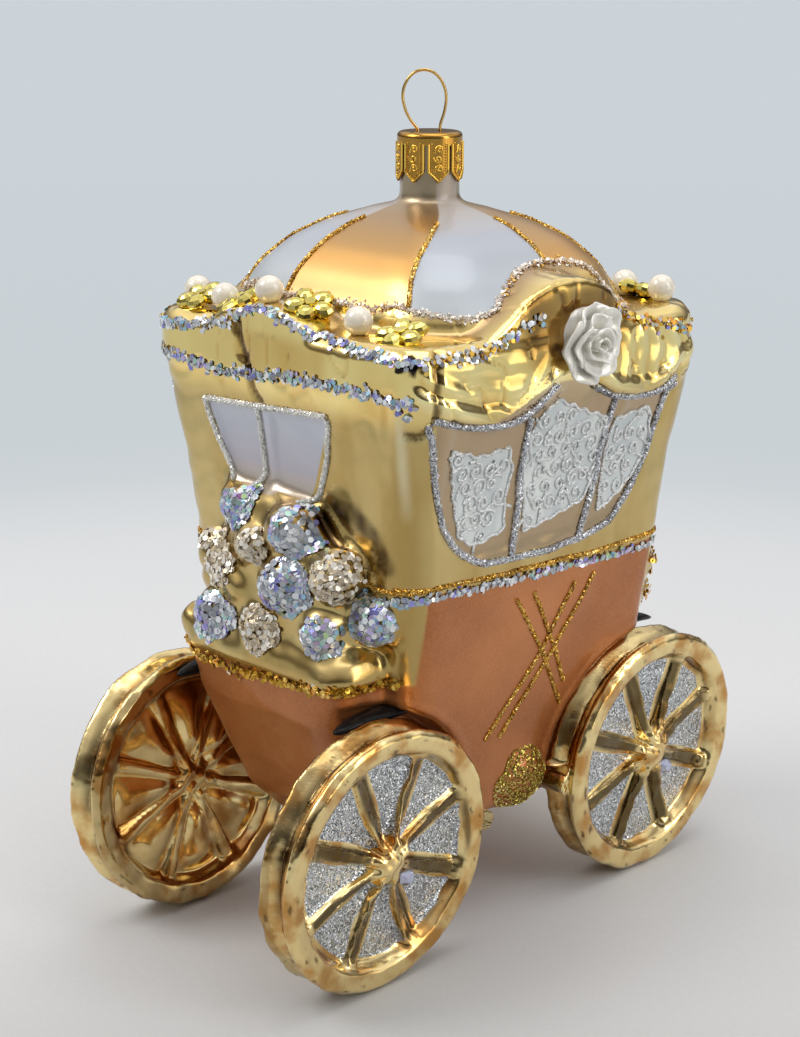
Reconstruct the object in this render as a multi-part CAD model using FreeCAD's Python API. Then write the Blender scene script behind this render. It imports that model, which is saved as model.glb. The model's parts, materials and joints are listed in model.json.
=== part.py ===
import FreeCAD, Part
import math
import os
from FreeCAD import Placement, Rotation, Vector

# Hanging glass ornament in the shape of a four-wheeled coach, in millimetres.
# +Z is up, the front of the coach faces -Y and its left side is +X.
# x = 0 is the plane of symmetry, y = 0 lies midway between the wheel hubs,
# and z = 0 is the surface that the four wheels stand on.

# ---------------------------------------------------------------- driving sizes
# wheels: hollow-blown discs with a double ridge round the tread
WHEEL_RADIUS = 23.0
WHEEL_RIDGE_OFFSET = 2.9
WHEEL_RIDGE_RADIUS = 1.1
WHEEL_RIM_HALF_WIDTH = 4.0
WHEEL_RIM_BAND = 5.1
WHEEL_GROOVE_DEPTH = 1.3
WHEEL_WEB_OUTER_FACE = 1.3
WHEEL_WEB_INNER_FACE = -1.5
WHEEL_HUB_RADIUS = 3.4
WHEEL_HUB_OUTER_HEIGHT = 5.0
WHEEL_HUB_INNER_HEIGHT = 3.3
WHEEL_PIP_RADIUS = 2.1
WHEEL_PIP_SINK = 1.0
SPOKE_COUNT = 8
WHEELBASE = 69.2
HALF_TRACK = 24.5
CAMBER_DEG = 3.5

# shell: one blown piece
WALL = 1.3
WINDOW_DEPTH = 0.4
ARCH_CLEARANCE = 1.3
ARCH_WALL_X = 18.2
ROOF_Z = 107.6
BODY_Y = 2.5
BOSS_RADIUS = 8.0
BOSS_CENTRE = Vector(16.5, 4.2, 26.2)

# windows, gables and the draped valance over each side window
SIDE_WINDOW_TOP = 97.0
SIDE_WINDOW_FOOT = 70.6
MULLION_WIDTH = 1.5
GABLE_FRONT_X = 32.4
GABLE_DEPTH = 11.0
GABLE_RISE_INWARD = 1.2
VALANCE_TOP = 101.0
VALANCE_X = 33.0
HEM_RADIUS = 1.1

# dome: an ellipse in side view, on a rounded square
DOME_CENTRE_Z = 105.0
DOME_RISE = 20.0
DOME_HALF_WIDTH = 29.0
DOME_HALF_LENGTH = 26.5
DOME_CORNER = 14.0
CREST_X = -4.0
CREST_HALF_WIDTH = 12.0
CREST_RISE = 2.8

# neck, crown cap and hanger wire
NECK_RADIUS = 5.15
NECK_WALL = 1.0
NECK_HEIGHT = 11.6
NECK_FLARE = 0.6
CAP_GAP = 0.15
CAP_SHEET = 0.3
CAP_DEPTH = 8.1
CAP_PETAL_POINT = 1.9
CAP_SLIT_LENGTH = 6.3
CAP_SLIT_WIDTH = 0.6
CAP_PETALS = 8
CAP_SLIT_TURN_DEG = 37.5  # the first slit, past the plane of the wire loop
WIRE_RADIUS = 0.3
WIRE_HOLE_GAP = 0.15
WIRE_LEG_OFFSET = 1.75
LOOP_RADIUS = 3.85
LOOP_HALF_HEIGHT = 5.1
LOOP_STATIONS_DEG = (-22, 18, 55, 90, 125, 162, 202)
LOOP_RISE = 10.2
LOOP_LEAN = -0.9
LOOP_TURN_DEG = 45.0
WIRE_STRAIGHT = 5.0
WIRE_REACH = 17.1
WIRE_SPREAD_GAP = 0.35

# trim
PEARL_RADIUS = 2.4
BEAD_PETAL_RADIUS = 1.65
BEAD_RING_RADIUS = 2.6
BEAD_PETALS = 5
BEAD_HEIGHT = 2.6
PEARL_INSET = 5.1
BEAD_INSET = 5.7
TRIM_SINK = 0.3
ROSE_RADIUS = 6.7
ROSE_CENTRE = Vector(0, 7.0, 104.2)
CRYSTAL_RADIUS = 1.7
CRYSTAL_REACH = 7.3
CRYSTAL_DROP_DEG = 41.0  # below the level line through the hub
CRYSTAL_HEIGHT = 1.8
GLUE_RADIUS = 2.2
GLUE_LENGTH = 5.0
GLUE_INSET = 4.0
GLUE_SHIFT = 5.0

# ---------------------------------------------------------------- section tables
# level sections: z, half width, front y, back y, corner radius
COACH_SECTIONS = [
    (17.5, 15.8, -17.8, 22.8, 6.0),
    (20.5, 20.4, -21.8, 27.8, 6.5),
    (27.0, 22.2, -24.3, 30.8, 6.5),
    (50.0, 25.8, -27.7, 34.8, 5.5),
    (66.0, 27.8, -29.6, 35.4, 5.0),
    (82.8, 29.3, -31.2, 37.6, 5.5),
    (93.0, 31.8, -32.4, 38.8, 6.5),
    (99.5, 32.9, -33.6, 39.0, 7.0),
    (105.6, 32.9, -33.7, 38.7, 7.0),
    (ROOF_Z, 31.4, -32.2, 37.2, 6.5),
]
FRONT_BOOT_SECTIONS = [
    (18.5, 11.0, -25.0, -12.0, 4.0),
    (24.5, 14.5, -30.5, -12.0, 5.0),
    (43.5, 18.4, -38.0, -12.0, 5.0),
    (50.2, 19.6, -38.4, -12.0, 5.0),
    (51.4, 20.6, -39.4, -12.0, 5.5),
    (54.2, 20.2, -39.0, -12.0, 6.0),
    (56.0, 18.6, -37.6, -12.0, 6.0),
]
BOUQUET_SECTIONS = [
    (55.0, 17.6, -37.4, -18.0, 8.0),
    (64.0, 17.0, -37.2, -18.0, 8.0),
    (72.0, 13.6, -36.0, -18.0, 7.0),
    (78.0, 8.6, -34.0, -18.0, 5.0),
    (80.6, 4.6, -31.8, -18.0, 3.0),
]
REAR_BOOT_SECTIONS = [
    (18.5, 11.0, 14.0, 26.5, 4.0),
    (24.5, 14.5, 14.0, 31.0, 5.0),
    (43.5, 18.4, 14.0, 36.2, 5.0),
    (52.0, 22.0, 14.0, 36.6, 5.0),
    (60.0, 23.0, 14.0, 34.6, 4.0),
]
# flower heads moulded on the front: x, y, z, radius
BOUQUET_HEADS = [
    (-11.5, -31.2, 76.0, 4.2), (4.0, -34.2, 74.5, 4.6), (-3.8, -35.2, 70.8, 3.8), (-15.0, -32.6, 66.5, 4.4),
    (4.5, -35.8, 65.9, 4.6), (13.4, -32.8, 68.4, 5.0), (-6.2, -35.0, 63.2, 3.8), (-13.0, -35.2, 57.6, 4.0),
    (-1.2, -35.4, 57.8, 4.2), (12.8, -34.6, 59.4, 4.0), (19.2, -28.2, 61.0, 4.4), (-19.2, -28.2, 61.0, 4.4),
]
# front window panes: corners x, z
FRONT_PANES = [
    [(-17.8, 92.5), (-4.4, 93.0), (-4.0, 79.0), (-12.6, 79.0)],
    [(-2.6, 93.0), (12.2, 93.5), (7.4, 79.0), (-2.2, 79.0)],
]
# side window below the valance, front to back: y, z, with the lower corners as arcs through the middle point
SIDE_WINDOW = [
    (-24.6, SIDE_WINDOW_TOP), (-24.9, 84.0), (-22.6, 74.6), (-14.5, SIDE_WINDOW_FOOT),
    (16.5, SIDE_WINDOW_FOOT), (23.6, 75.0), (28.2, 83.0), (34.0, SIDE_WINDOW_TOP),
]
# mullions: y at the foot and at the top of the window
SIDE_MULLIONS = [(-6.2, -1.6), (10.6, 20.4)]
# draped hem of the valance over a side window, as arcs: start y, z, low y, z, end y, z
VALANCE_HEMS = [(-26.5, 97.4, -12.0, 94.2, 2.0, 99.4), (11.0, 98.8, 23.0, 93.9, 34.5, 96.8)]
# gable over a side window: three arcs that share their end points, y, z
GABLE_OUTLINE = [
    (-20.0, 106.0), (-13.4, 109.0), (-8.5, 112.4), (2.5, 115.2), (13.0, 112.1), (15.4, 109.0), (18.5, 106.0),
]
# glued trim along a roof edge: place along x, extra inset from the edge, p = pearl, f = flower bead
FRONT_TRIM = [
    (-29.0, 5.0, "p"), (-24.0, 0.1, "f"), (-17.9, 0.0, "p"), (-11.7, 0.0, "f"),
    (-5.3, 0.0, "p"), (3.2, 0.0, "f"), (13.3, 0.0, "p"), (22.4, 0.0, "f"),
]
REAR_TRIM = [
    (-29.2, 4.0, "p"), (-23.4, 0.0, "f"), (-14.0, 0.0, "p"), (-4.6, 0.0, "f"),
    (4.8, 0.0, "p"), (14.2, 0.0, "f"), (20.6, 0.0, "p"), (27.0, 0.6, "f"),
]
# rolls moulded across the back: y, z, radius, half length
REAR_ROLLS = [
    (34.6, 59.2, 2.0, 23.2),
    (35.6, 54.4, 2.9, 22.6),
    (36.2, 48.8, 3.2, 20.8),
]


def level_outline(z, half_width, front, back, corner, inset=0.0):
    # rounded rectangle in a level plane, drawn in by inset all round
    w = half_width - inset
    f = front + inset
    b = back - inset
    r = max(corner - inset, 0.6)
    k = r * (1 - math.sqrt(0.5))
    corners = [
        (Vector(w, f + r, z), Vector(w - k, f + k, z), Vector(w - r, f, z)),
        (Vector(-w + r, f, z), Vector(-w + k, f + k, z), Vector(-w, f + r, z)),
        (Vector(-w, b - r, z), Vector(-w + k, b - k, z), Vector(-w + r, b, z)),
        (Vector(w - r, b, z), Vector(w - k, b - k, z), Vector(w, b - r, z)),
    ]
    edges = []
    for index, (start, middle, end) in enumerate(corners):
        edges.append(Part.Arc(start, middle, end).toShape())
        following = corners[(index + 1) % 4][0]
        edges.append(Part.LineSegment(end, following).toShape())
    return Part.Wire(edges)


def level_loft(sections, inset=0.0):
    # loft with straight sides; drawn in by inset it also starts higher and ends lower
    wires = []
    last = len(sections) - 1
    for index, (z, half_width, front, back, corner) in enumerate(sections):
        level = z + inset if index == 0 else z - inset if index == last else z
        wires.append(level_outline(level, half_width, front, back, corner, inset))
    return Part.makeLoft(wires, True, True)


def dome_top():
    return DOME_CENTRE_Z + DOME_RISE


def neck_top():
    return dome_top() + NECK_HEIGHT


def dome(inset=0.0, steps=(0.0, 0.28, 0.52, 0.72, 0.86, 0.95)):
    # rounded-square levels that follow an ellipse up to the neck
    foot = ROOF_Z - 4.0
    top = dome_top() - inset
    sections = []
    for step in steps:
        z = foot + (top - foot) * step
        share = (z - DOME_CENTRE_Z) / (DOME_RISE - inset)
        size = math.sqrt(1 - share * share)
        half_width = (DOME_HALF_WIDTH - inset) * size
        half_length = (DOME_HALF_LENGTH - inset) * size
        sections.append((z, half_width, BODY_Y - half_length, BODY_Y + half_length, DOME_CORNER * size))
    collar = NECK_FLARE + (NECK_RADIUS - NECK_WALL if inset else NECK_RADIUS)
    sections.append((top, collar, BODY_Y - collar, BODY_Y + collar, collar * 0.98))
    return level_loft(sections)


def rod(start, end, radius):
    return Part.makeCylinder(radius, (end - start).Length, start, end - start)


def roll(y, z, radius, half_length):
    # bar across the coach with coned ends
    taper = radius * 0.6
    right = Vector(-half_length + taper, y, z)
    left = Vector(half_length - taper, y, z)
    along = Vector(1, 0, 0)
    ends = [
        Part.makeCone(radius, radius * 0.45, taper, left, along),
        Part.makeCone(radius, radius * 0.45, taper, right, along * -1),
    ]
    return rod(right, left, radius).multiFuse(ends)


def crest_height(x):
    # top of the low arch that crosses the roof edge at the front and the back
    radius = (CREST_HALF_WIDTH ** 2 + CREST_RISE ** 2) / (2 * CREST_RISE)
    offset = min(abs(x - CREST_X), CREST_HALF_WIDTH)
    return ROOF_Z + math.sqrt(radius ** 2 - offset ** 2) - radius + CREST_RISE


def crest():
    # low arch that runs from the front edge of the roof, under the dome, to the back edge
    start = COACH_SECTIONS[-2][2] + 0.2
    length = COACH_SECTIONS[-2][3] - 0.2 - start
    left = CREST_X - CREST_HALF_WIDTH
    right = CREST_X + CREST_HALF_WIDTH
    foot = ROOF_Z - 3.0
    edges = [
        Part.Arc(Vector(left, start, ROOF_Z), Vector(CREST_X, start, ROOF_Z + CREST_RISE),
                 Vector(right, start, ROOF_Z)).toShape(),
        Part.makePolygon([Vector(right, start, ROOF_Z), Vector(right, start, foot),
                          Vector(left, start, foot), Vector(left, start, ROOF_Z)]),
    ]
    return Part.Face(Part.Wire(edges)).extrude(Vector(0, length, 0))


def arc_through(points):
    # arcs end to end: every second point is shared by two arcs
    return [Part.Arc(*points[i:i + 3]).toShape() for i in range(0, len(points) - 2, 2)]


def gable(side):
    # ogee gable: hollow shoulders and a round crown that rises a little towards the dome
    corners = [Vector(side * GABLE_FRONT_X, y, z) for y, z in GABLE_OUTLINE]
    face = Part.Face(Part.Wire(arc_through(corners) + [Part.LineSegment(corners[-1], corners[0]).toShape()]))
    return face.extrude(Vector(-side * GABLE_DEPTH, 0, GABLE_RISE_INWARD))


def valance(side, hem):
    # cloth-like drape over a window: flat sheet down to an arc, with a rolled hem along it
    start, low, end = [Vector(side * VALANCE_X, hem[i], hem[i + 1]) for i in (0, 2, 4)]
    arc = Part.Arc(start, low, end).toShape()
    top = [Vector(start.x, end.y, VALANCE_TOP), Vector(start.x, start.y, VALANCE_TOP)]
    face = Part.Face(Part.Wire([arc, Part.makePolygon([end, *top, start])]))
    sheet = face.extrude(Vector(-side * 4.0, 0, 0))
    section = Part.Circle(start, arc.tangentAt(arc.FirstParameter), HEM_RADIUS).toShape()
    roll_hem = Part.Wire([arc]).makePipeShell([Part.Wire([section])], True, False)
    roll_hem.translate(Vector(-side * HEM_RADIUS, 0, 0))
    return sheet.fuse(roll_hem)


# ---------------------------------------------------------------- glass shell
def coach_form():
    pieces = [level_loft(table) for table in (FRONT_BOOT_SECTIONS, BOUQUET_SECTIONS, REAR_BOOT_SECTIONS)]
    return level_loft(COACH_SECTIONS).multiFuse(pieces + [dome()])


def hollow(hub_z):
    # inside of the blown shell: it skips only levels where the outside bulges, so the wall never thins there
    pieces = [level_loft(table, WALL) for table in (FRONT_BOOT_SECTIONS[:-1], REAR_BOOT_SECTIONS)]
    body = level_loft(COACH_SECTIONS[:5:2] + COACH_SECTIONS[5:7] + COACH_SECTIONS[8:], WALL)
    body = body.multiFuse(pieces + [dome(WALL, (0.0, 0.5, 0.86))])
    arches = wheel_arches(hub_z, WALL)
    return body.cut(arches[0].multiFuse(arches[1:]))


def wheel_arches(hub_z, inset=0.0):
    arches = []
    radius = WHEEL_RADIUS + ARCH_CLEARANCE + inset
    for side in (1, -1):
        for end in (1, -1):
            foot = Vector(side * (ARCH_WALL_X - inset), end * WHEELBASE / 2, hub_z)
            arches.append(Part.makeCylinder(radius, 30, foot, Vector(side, 0, 0)))
    return arches


def side_window(side):
    # cutter for the three panes of a side window, which leaves the mullions standing
    def at(y, z):
        return Vector(side * 20, y, z)

    corners = [at(y, z) for y, z in SIDE_WINDOW]
    edges = [
        Part.LineSegment(corners[0], corners[1]).toShape(), *arc_through(corners[1:4]),
        Part.LineSegment(corners[3], corners[4]).toShape(), *arc_through(corners[4:7]),
        Part.makePolygon([*corners[6:], corners[0]]),
    ]
    cutter = Part.Face(Part.Wire(edges)).extrude(Vector(side * 20, 0, 0))
    half = MULLION_WIDTH / 2
    for foot, top in SIDE_MULLIONS:
        bar = [at(foot - half, SIDE_WINDOW_FOOT - 1), at(foot + half, SIDE_WINDOW_FOOT - 1),
               at(top + half, SIDE_WINDOW_TOP + 1), at(top - half, SIDE_WINDOW_TOP + 1)]
        cutter = cutter.cut(Part.Face(Part.makePolygon(bar + bar[:1])).extrude(Vector(side * 20, 0, 0)))
    return cutter


def front_panes():
    panes = []
    for outline in FRONT_PANES:
        corners = [Vector(x, -22, z) for x, z in outline]
        panes.append(Part.Face(Part.makePolygon(corners + corners[:1])).extrude(Vector(0, -12, 0)))
    return panes


def glass_body(hub_z):
    outer = coach_form()
    arches = wheel_arches(hub_z)
    additions = [crest()] + [roll(*row) for row in REAR_ROLLS]
    for x, y, z, radius in BOUQUET_HEADS:
        additions.append(Part.makeSphere(radius, Vector(x, y, z)))
    for side in (1, -1):
        additions.append(gable(side))
        boss_centre = Vector(side * BOSS_CENTRE.x, BOSS_CENTRE.y, BOSS_CENTRE.z)
        additions.append(Part.makeSphere(BOSS_RADIUS, boss_centre))
    for addition in additions:
        outer = outer.fuse(addition)
    outer = outer.cut(arches[0].multiFuse(arches[1:]))

    # recessed panes: only the outer skin is taken away
    core = level_loft(COACH_SECTIONS, WINDOW_DEPTH)
    for cutter in [side_window(1), side_window(-1)] + front_panes():
        outer = outer.cut(cutter.cut(core))
    for side in (1, -1):
        for hem in VALANCE_HEMS:
            outer = outer.fuse(valance(side, hem))

    neck_foot = Vector(0, BODY_Y, dome_top() - 4.0)
    neck = rod(neck_foot, Vector(0, BODY_Y, neck_top()), NECK_RADIUS)
    bore = rod(neck_foot, Vector(0, BODY_Y, neck_top() + 1), NECK_RADIUS - NECK_WALL)
    return outer.fuse(neck).cut(hollow(hub_z)).cut(bore).removeSplitter()


# ---------------------------------------------------------------- wheels
def wheel_disc():
    # half section of the blown disc: radius, height along the axle (outside is +)
    r, w = WHEEL_RADIUS, WHEEL_RIM_HALF_WIDTH
    ridge, round_off = WHEEL_RIDGE_OFFSET, WHEEL_RIDGE_RADIUS
    inner = r - WHEEL_RIM_BAND
    hub, top, back = WHEEL_HUB_RADIUS, WHEEL_HUB_OUTER_HEIGHT, WHEEL_HUB_INNER_HEIGHT
    groove = r - WHEEL_GROOVE_DEPTH
    face = [(inner + 1.2, w - 0.3), (r - round_off, w), (r, ridge)]
    section = [
        (0.0, top), (hub * 0.6, top - 0.5), (hub, WHEEL_WEB_OUTER_FACE),
        (inner, WHEEL_WEB_OUTER_FACE), *face,
        (groove, 0.8), (groove, -0.8),
        *[(radius, -height) for radius, height in reversed(face)],
        (inner, WHEEL_WEB_INNER_FACE), (hub, WHEEL_WEB_INNER_FACE),
        (hub * 0.7, -back + 0.5), (0.0, -back),
    ]
    corners = [Vector(radius, 0, height) for radius, height in section]
    outline = Part.Face(Part.makePolygon(corners + corners[:1]))
    return outline.revolve(Vector(0, 0, 0), Vector(0, 0, 1), 360)


def spoke_section(radius, half_width, outer, inner):
    ring = [
        (half_width, 0), (half_width * 0.5, outer), (-half_width * 0.5, outer),
        (-half_width, 0), (-half_width * 0.5, -inner), (half_width * 0.5, -inner),
    ]
    corners = [Vector(radius, across, up) for across, up in ring]
    return Part.makePolygon(corners + corners[:1])


def wheel(pip_side):
    disc = wheel_disc()
    spokes = []
    for index in range(SPOKE_COUNT):
        spoke = Part.makeLoft([
            spoke_section(1.8, 1.1, WHEEL_HUB_OUTER_HEIGHT - 0.6, WHEEL_HUB_INNER_HEIGHT - 0.6),
            spoke_section(10.0, 1.7, 3.1, 2.5),
            spoke_section(WHEEL_RADIUS - WHEEL_RIM_BAND + 1.2, 2.1, 2.9, 2.9),
        ], True, True)
        spoke.rotate(Vector(0, 0, 0), Vector(0, 0, 1), (index + 0.5) * 360 / SPOKE_COUNT)
        spokes.append(spoke)
    pip_reach = WHEEL_RADIUS - WHEEL_PIP_SINK
    pip = Part.makeSphere(WHEEL_PIP_RADIUS, Vector(0, pip_side * pip_reach, 0))
    return disc.multiFuse(spokes + [pip])


def wheel_placement(side, y, hub_z):
    # local +z becomes outward, local y stays along the coach; the top leans outward
    turn = Rotation(Vector(0, 1, 0), 90 if side > 0 else -90)
    lean = Rotation(Vector(0, 1, 0), side * CAMBER_DEG)
    return Placement(Vector(side * HALF_TRACK, y, hub_z), lean.multiply(turn))


def hub_height():
    # the outward lean lowers the outer ridge of the tread onto the ground
    camber = math.radians(CAMBER_DEG)
    return WHEEL_RADIUS * math.cos(camber) + WHEEL_RIDGE_OFFSET * math.sin(camber)


# ---------------------------------------------------------------- crown cap and wire
def hanger_cap():
    inner = NECK_RADIUS + CAP_GAP
    outer = inner + CAP_SHEET
    axis = Vector(0, BODY_Y, 0)
    under = neck_top()
    top = under + CAP_SHEET
    tip = under - CAP_DEPTH
    shoulder = 0.9
    profile = [
        Part.LineSegment(Vector(0, 0, under), Vector(0, 0, top)),
        Part.LineSegment(Vector(0, 0, top), Vector(outer - shoulder, 0, top)),
        Part.Arc(Vector(outer - shoulder, 0, top),
                 Vector(outer - shoulder * 0.293, 0, top - shoulder * 0.293),
                 Vector(outer, 0, top - shoulder)),
        Part.LineSegment(Vector(outer, 0, top - shoulder), Vector(outer, 0, tip)),
        Part.LineSegment(Vector(outer, 0, tip), Vector(inner, 0, tip)),
        Part.LineSegment(Vector(inner, 0, tip), Vector(inner, 0, under)),
        Part.LineSegment(Vector(inner, 0, under), Vector(0, 0, under)),
    ]
    cup = Part.Face(Part.Wire([p.toShape() for p in profile]))
    cup = cup.revolve(Vector(0, 0, 0), Vector(0, 0, 1), 360)

    half_pitch = outer * math.sin(math.pi / CAP_PETALS)
    half_slit = CAP_SLIT_WIDTH / 2
    slit_foot = tip + CAP_PETAL_POINT
    slit_top = tip + CAP_SLIT_LENGTH
    outline = [
        (-half_slit, slit_top), (half_slit, slit_top), (half_slit, slit_foot),
        (half_pitch, tip), (half_pitch, tip - 1), (-half_pitch, tip - 1),
        (-half_pitch, tip), (-half_slit, slit_foot),
    ]
    notches = []
    for index in range(CAP_PETALS):
        corners = [Vector(inner - 1, across, z) for across, z in outline]
        notch = Part.Face(Part.makePolygon(corners + corners[:1])).extrude(Vector(3, 0, 0))
        notch.rotate(Vector(0, 0, 0), Vector(0, 0, 1), CAP_SLIT_TURN_DEG + index * 360 / CAP_PETALS)
        notches.append(notch)
    holes = []
    for side in (1, -1):
        foot = Vector(side * WIRE_LEG_OFFSET, 0, under - 1)
        holes.append(Part.makeCylinder(WIRE_RADIUS + WIRE_HOLE_GAP, 3, foot))
    cap = cup.cut(notches[0].multiFuse(notches[1:] + holes))
    cap.rotate(Vector(0, 0, 0), Vector(0, 0, 1), LOOP_TURN_DEG)
    cap.translate(axis)
    return cap


def hanger_wire():
    # egg-shaped loop that leans to one side and closes in to the two holes; its legs
    # run down the neck, spread to its wall and end straight
    top = neck_top()
    crown = top + LOOP_RISE - WIRE_RADIUS
    centre = Vector(LOOP_LEAN, 0, crown - LOOP_HALF_HEIGHT)
    spread = NECK_RADIUS - NECK_WALL - WIRE_RADIUS - WIRE_SPREAD_GAP
    bore_foot = dome_top() - WALL

    def leg(side):
        # points of one leg from its tip up to the foot of the loop
        return [
            Vector(side * spread, 0, top - WIRE_REACH), Vector(side * spread, 0, bore_foot),
            Vector(side * WIRE_LEG_OFFSET, 0, top - WIRE_STRAIGHT),
            Vector(side * WIRE_LEG_OFFSET, 0, top + CAP_SHEET + 0.4),
        ]

    left, right = leg(1), leg(-1)
    around = []
    for angle in LOOP_STATIONS_DEG:
        turn = math.radians(angle)
        around.append(centre + Vector(math.cos(turn) * LOOP_RADIUS, 0, math.sin(turn) * LOOP_HALF_HEIGHT))
    loop = Part.BSplineCurve()
    loop.interpolate([left[-1], *around, right[-1]])
    edges = [Part.LineSegment(a, b).toShape() for a, b in zip(left, left[1:])]
    edges.append(loop.toShape())
    right.reverse()
    edges += [Part.LineSegment(a, b).toShape() for a, b in zip(right, right[1:])]
    start = Part.Circle(left[0], Vector(0, 0, 1), WIRE_RADIUS).toShape()
    wire = Part.Wire(edges).makePipeShell([Part.Wire([start])], True, False, 1)
    wire.rotate(Vector(0, 0, 0), Vector(0, 0, 1), LOOP_TURN_DEG)
    wire.translate(Vector(0, BODY_Y, 0))
    return wire


# ---------------------------------------------------------------- trim
def on_roof(x, y):
    # place and tilt of a piece of trim glued on the roof edge or on the crest
    radius = (CREST_HALF_WIDTH ** 2 + CREST_RISE ** 2) / (2 * CREST_RISE)
    offset = x - CREST_X
    slope = math.degrees(math.asin(offset / radius)) if abs(offset) < CREST_HALF_WIDTH else 0.0
    return Placement(Vector(x, y, crest_height(x)), Rotation(Vector(0, 1, 0), slope))


def flat_seat():
    return Part.makeBox(20, 20, 10, Vector(-10, -10, -10))


def pearl(x, y):
    ball = Part.makeSphere(PEARL_RADIUS, Vector(0, 0, PEARL_RADIUS - TRIM_SINK)).cut(flat_seat())
    ball.Placement = on_roof(x, y)
    return ball


def cut_stone(centre, radius, height):
    # six-sided facet-cut stone, narrower at the top
    levels = []
    for level, share in ((0.0, 0.86), (0.45, 1.0), (1.0, 0.5)):
        corners = []
        for index in range(6):
            angle = math.radians(index * 60)
            reach = radius * share
            corners.append(centre + Vector(reach * math.cos(angle), reach * math.sin(angle), height * level))
        levels.append(Part.makePolygon(corners + corners[:1]))
    return Part.makeLoft(levels, True, True)


def flower_bead(x, y, petal_turn):
    petals = []
    for index in range(BEAD_PETALS):
        angle = math.radians(petal_turn + index * 360 / BEAD_PETALS)
        centre = Vector(math.cos(angle), math.sin(angle), 0) * BEAD_RING_RADIUS
        petals.append(cut_stone(centre, BEAD_PETAL_RADIUS, BEAD_HEIGHT))
    heart = cut_stone(Vector(0, 0, 0), BEAD_PETAL_RADIUS, BEAD_HEIGHT + 0.5)
    flower = heart.multiFuse(petals)
    flower.Placement = on_roof(x, y)
    return flower


def rose(side):
    core = Part.makeSphere(ROSE_RADIUS * 0.62, Vector(0, 0, 0.4))
    petals = []
    for index in range(5):
        angle = math.radians(90 + index * 72)
        centre = Vector(math.cos(angle), math.sin(angle), 0) * ROSE_RADIUS * 0.5
        petals.append(Part.makeSphere(ROSE_RADIUS * 0.5, centre))
    bloom = core.multiFuse(petals)
    bloom = bloom.cut(Part.makeBox(30, 30, 30, Vector(-15, -15, -30)))
    turn = Rotation(Vector(0, 1, 0), 90 if side > 0 else -90)
    place = Vector(side * VALANCE_X, ROSE_CENTRE.y, ROSE_CENTRE.z)
    bloom.Placement = Placement(place, turn)
    return bloom


def hub_crystal(placement, disc, side):
    # cut stone glued to the web, behind the hub and a little below it
    drop = math.radians(CRYSTAL_DROP_DEG)
    across, down = CRYSTAL_REACH * math.cos(drop), CRYSTAL_REACH * math.sin(drop)
    stone = cut_stone(Vector(side * down, across, WHEEL_WEB_OUTER_FACE), CRYSTAL_RADIUS, CRYSTAL_HEIGHT)
    stone.Placement = placement
    return stone.cut(disc)


def glue_pad(disc, side, end, hub_z):
    # bead of glue between the arch wall and the inner rim of the wheel
    start = Vector(side * ARCH_WALL_X, end * (WHEELBASE / 2 - GLUE_SHIFT), hub_z + WHEEL_RADIUS - GLUE_INSET)
    bead = rod(start, start + Vector(side * GLUE_LENGTH, 0, 0), GLUE_RADIUS).cut(disc)
    return max(bead.Solids, key=lambda solid: solid.Volume)


# ---------------------------------------------------------------- build
def build():
    hub_z = hub_height()
    nodes = {"glass_body": glass_body(hub_z)}
    for side, side_name in ((1, "left"), (-1, "right")):
        for end, end_name in ((-1, "front"), (1, "rear")):
            name = end_name + "_" + side_name
            place = wheel_placement(side, end * WHEELBASE / 2, hub_z)
            disc = wheel(-end)
            disc.Placement = place
            nodes[name + "_wheel"] = disc
            nodes[name + "_crystal"] = hub_crystal(place, disc, side)
            nodes[name + "_glue"] = glue_pad(disc, side, end, hub_z)
        nodes[side_name + "_rose"] = rose(side)
    roof = COACH_SECTIONS[-2]
    rows = (("front", roof[2], 1, FRONT_TRIM), ("rear", roof[3], -1, REAR_TRIM))
    for row_name, edge_y, inward, table in rows:
        pearls, beads = [], []
        for x, extra, kind in table:
            if kind == "p":
                pearls.append(pearl(x, edge_y + inward * (PEARL_INSET + extra)))
            else:
                beads.append(flower_bead(x, edge_y + inward * (BEAD_INSET + extra), inward * 90))
        nodes[row_name + "_pearls"] = Part.makeCompound(pearls)
        nodes[row_name + "_flower_beads"] = Part.makeCompound(beads)
    nodes["hanger_cap"] = hanger_cap()
    nodes["hanger_wire"] = hanger_wire()
    return nodes


os.makedirs("parts", exist_ok=True)
for name, shape in build().items():
    for solid in shape.Solids:
        if not solid.isValid() or not solid.isClosed():
            print("not a sound solid:", name)
    box = shape.BoundBox
    print("%-22s solids %d volume %8.1f x %6.1f %6.1f y %6.1f %6.1f z %6.1f %6.1f" % (
        name, len(shape.Solids), shape.Volume, box.XMin, box.XMax, box.YMin, box.YMax, box.ZMin, box.ZMax))
    shape.exportStep("parts/" + name + ".step")
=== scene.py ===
# Looks of the hanging glass coach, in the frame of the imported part: +Z up, front towards -Y.
# Places and sizes on the coach are in millimetres, those of the camera, lamps and room in metres.
import json
import math
import random
import bpy
from mathutils import Euler, Matrix, Vector, noise
from mathutils.bvhtree import BVHTree

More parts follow.
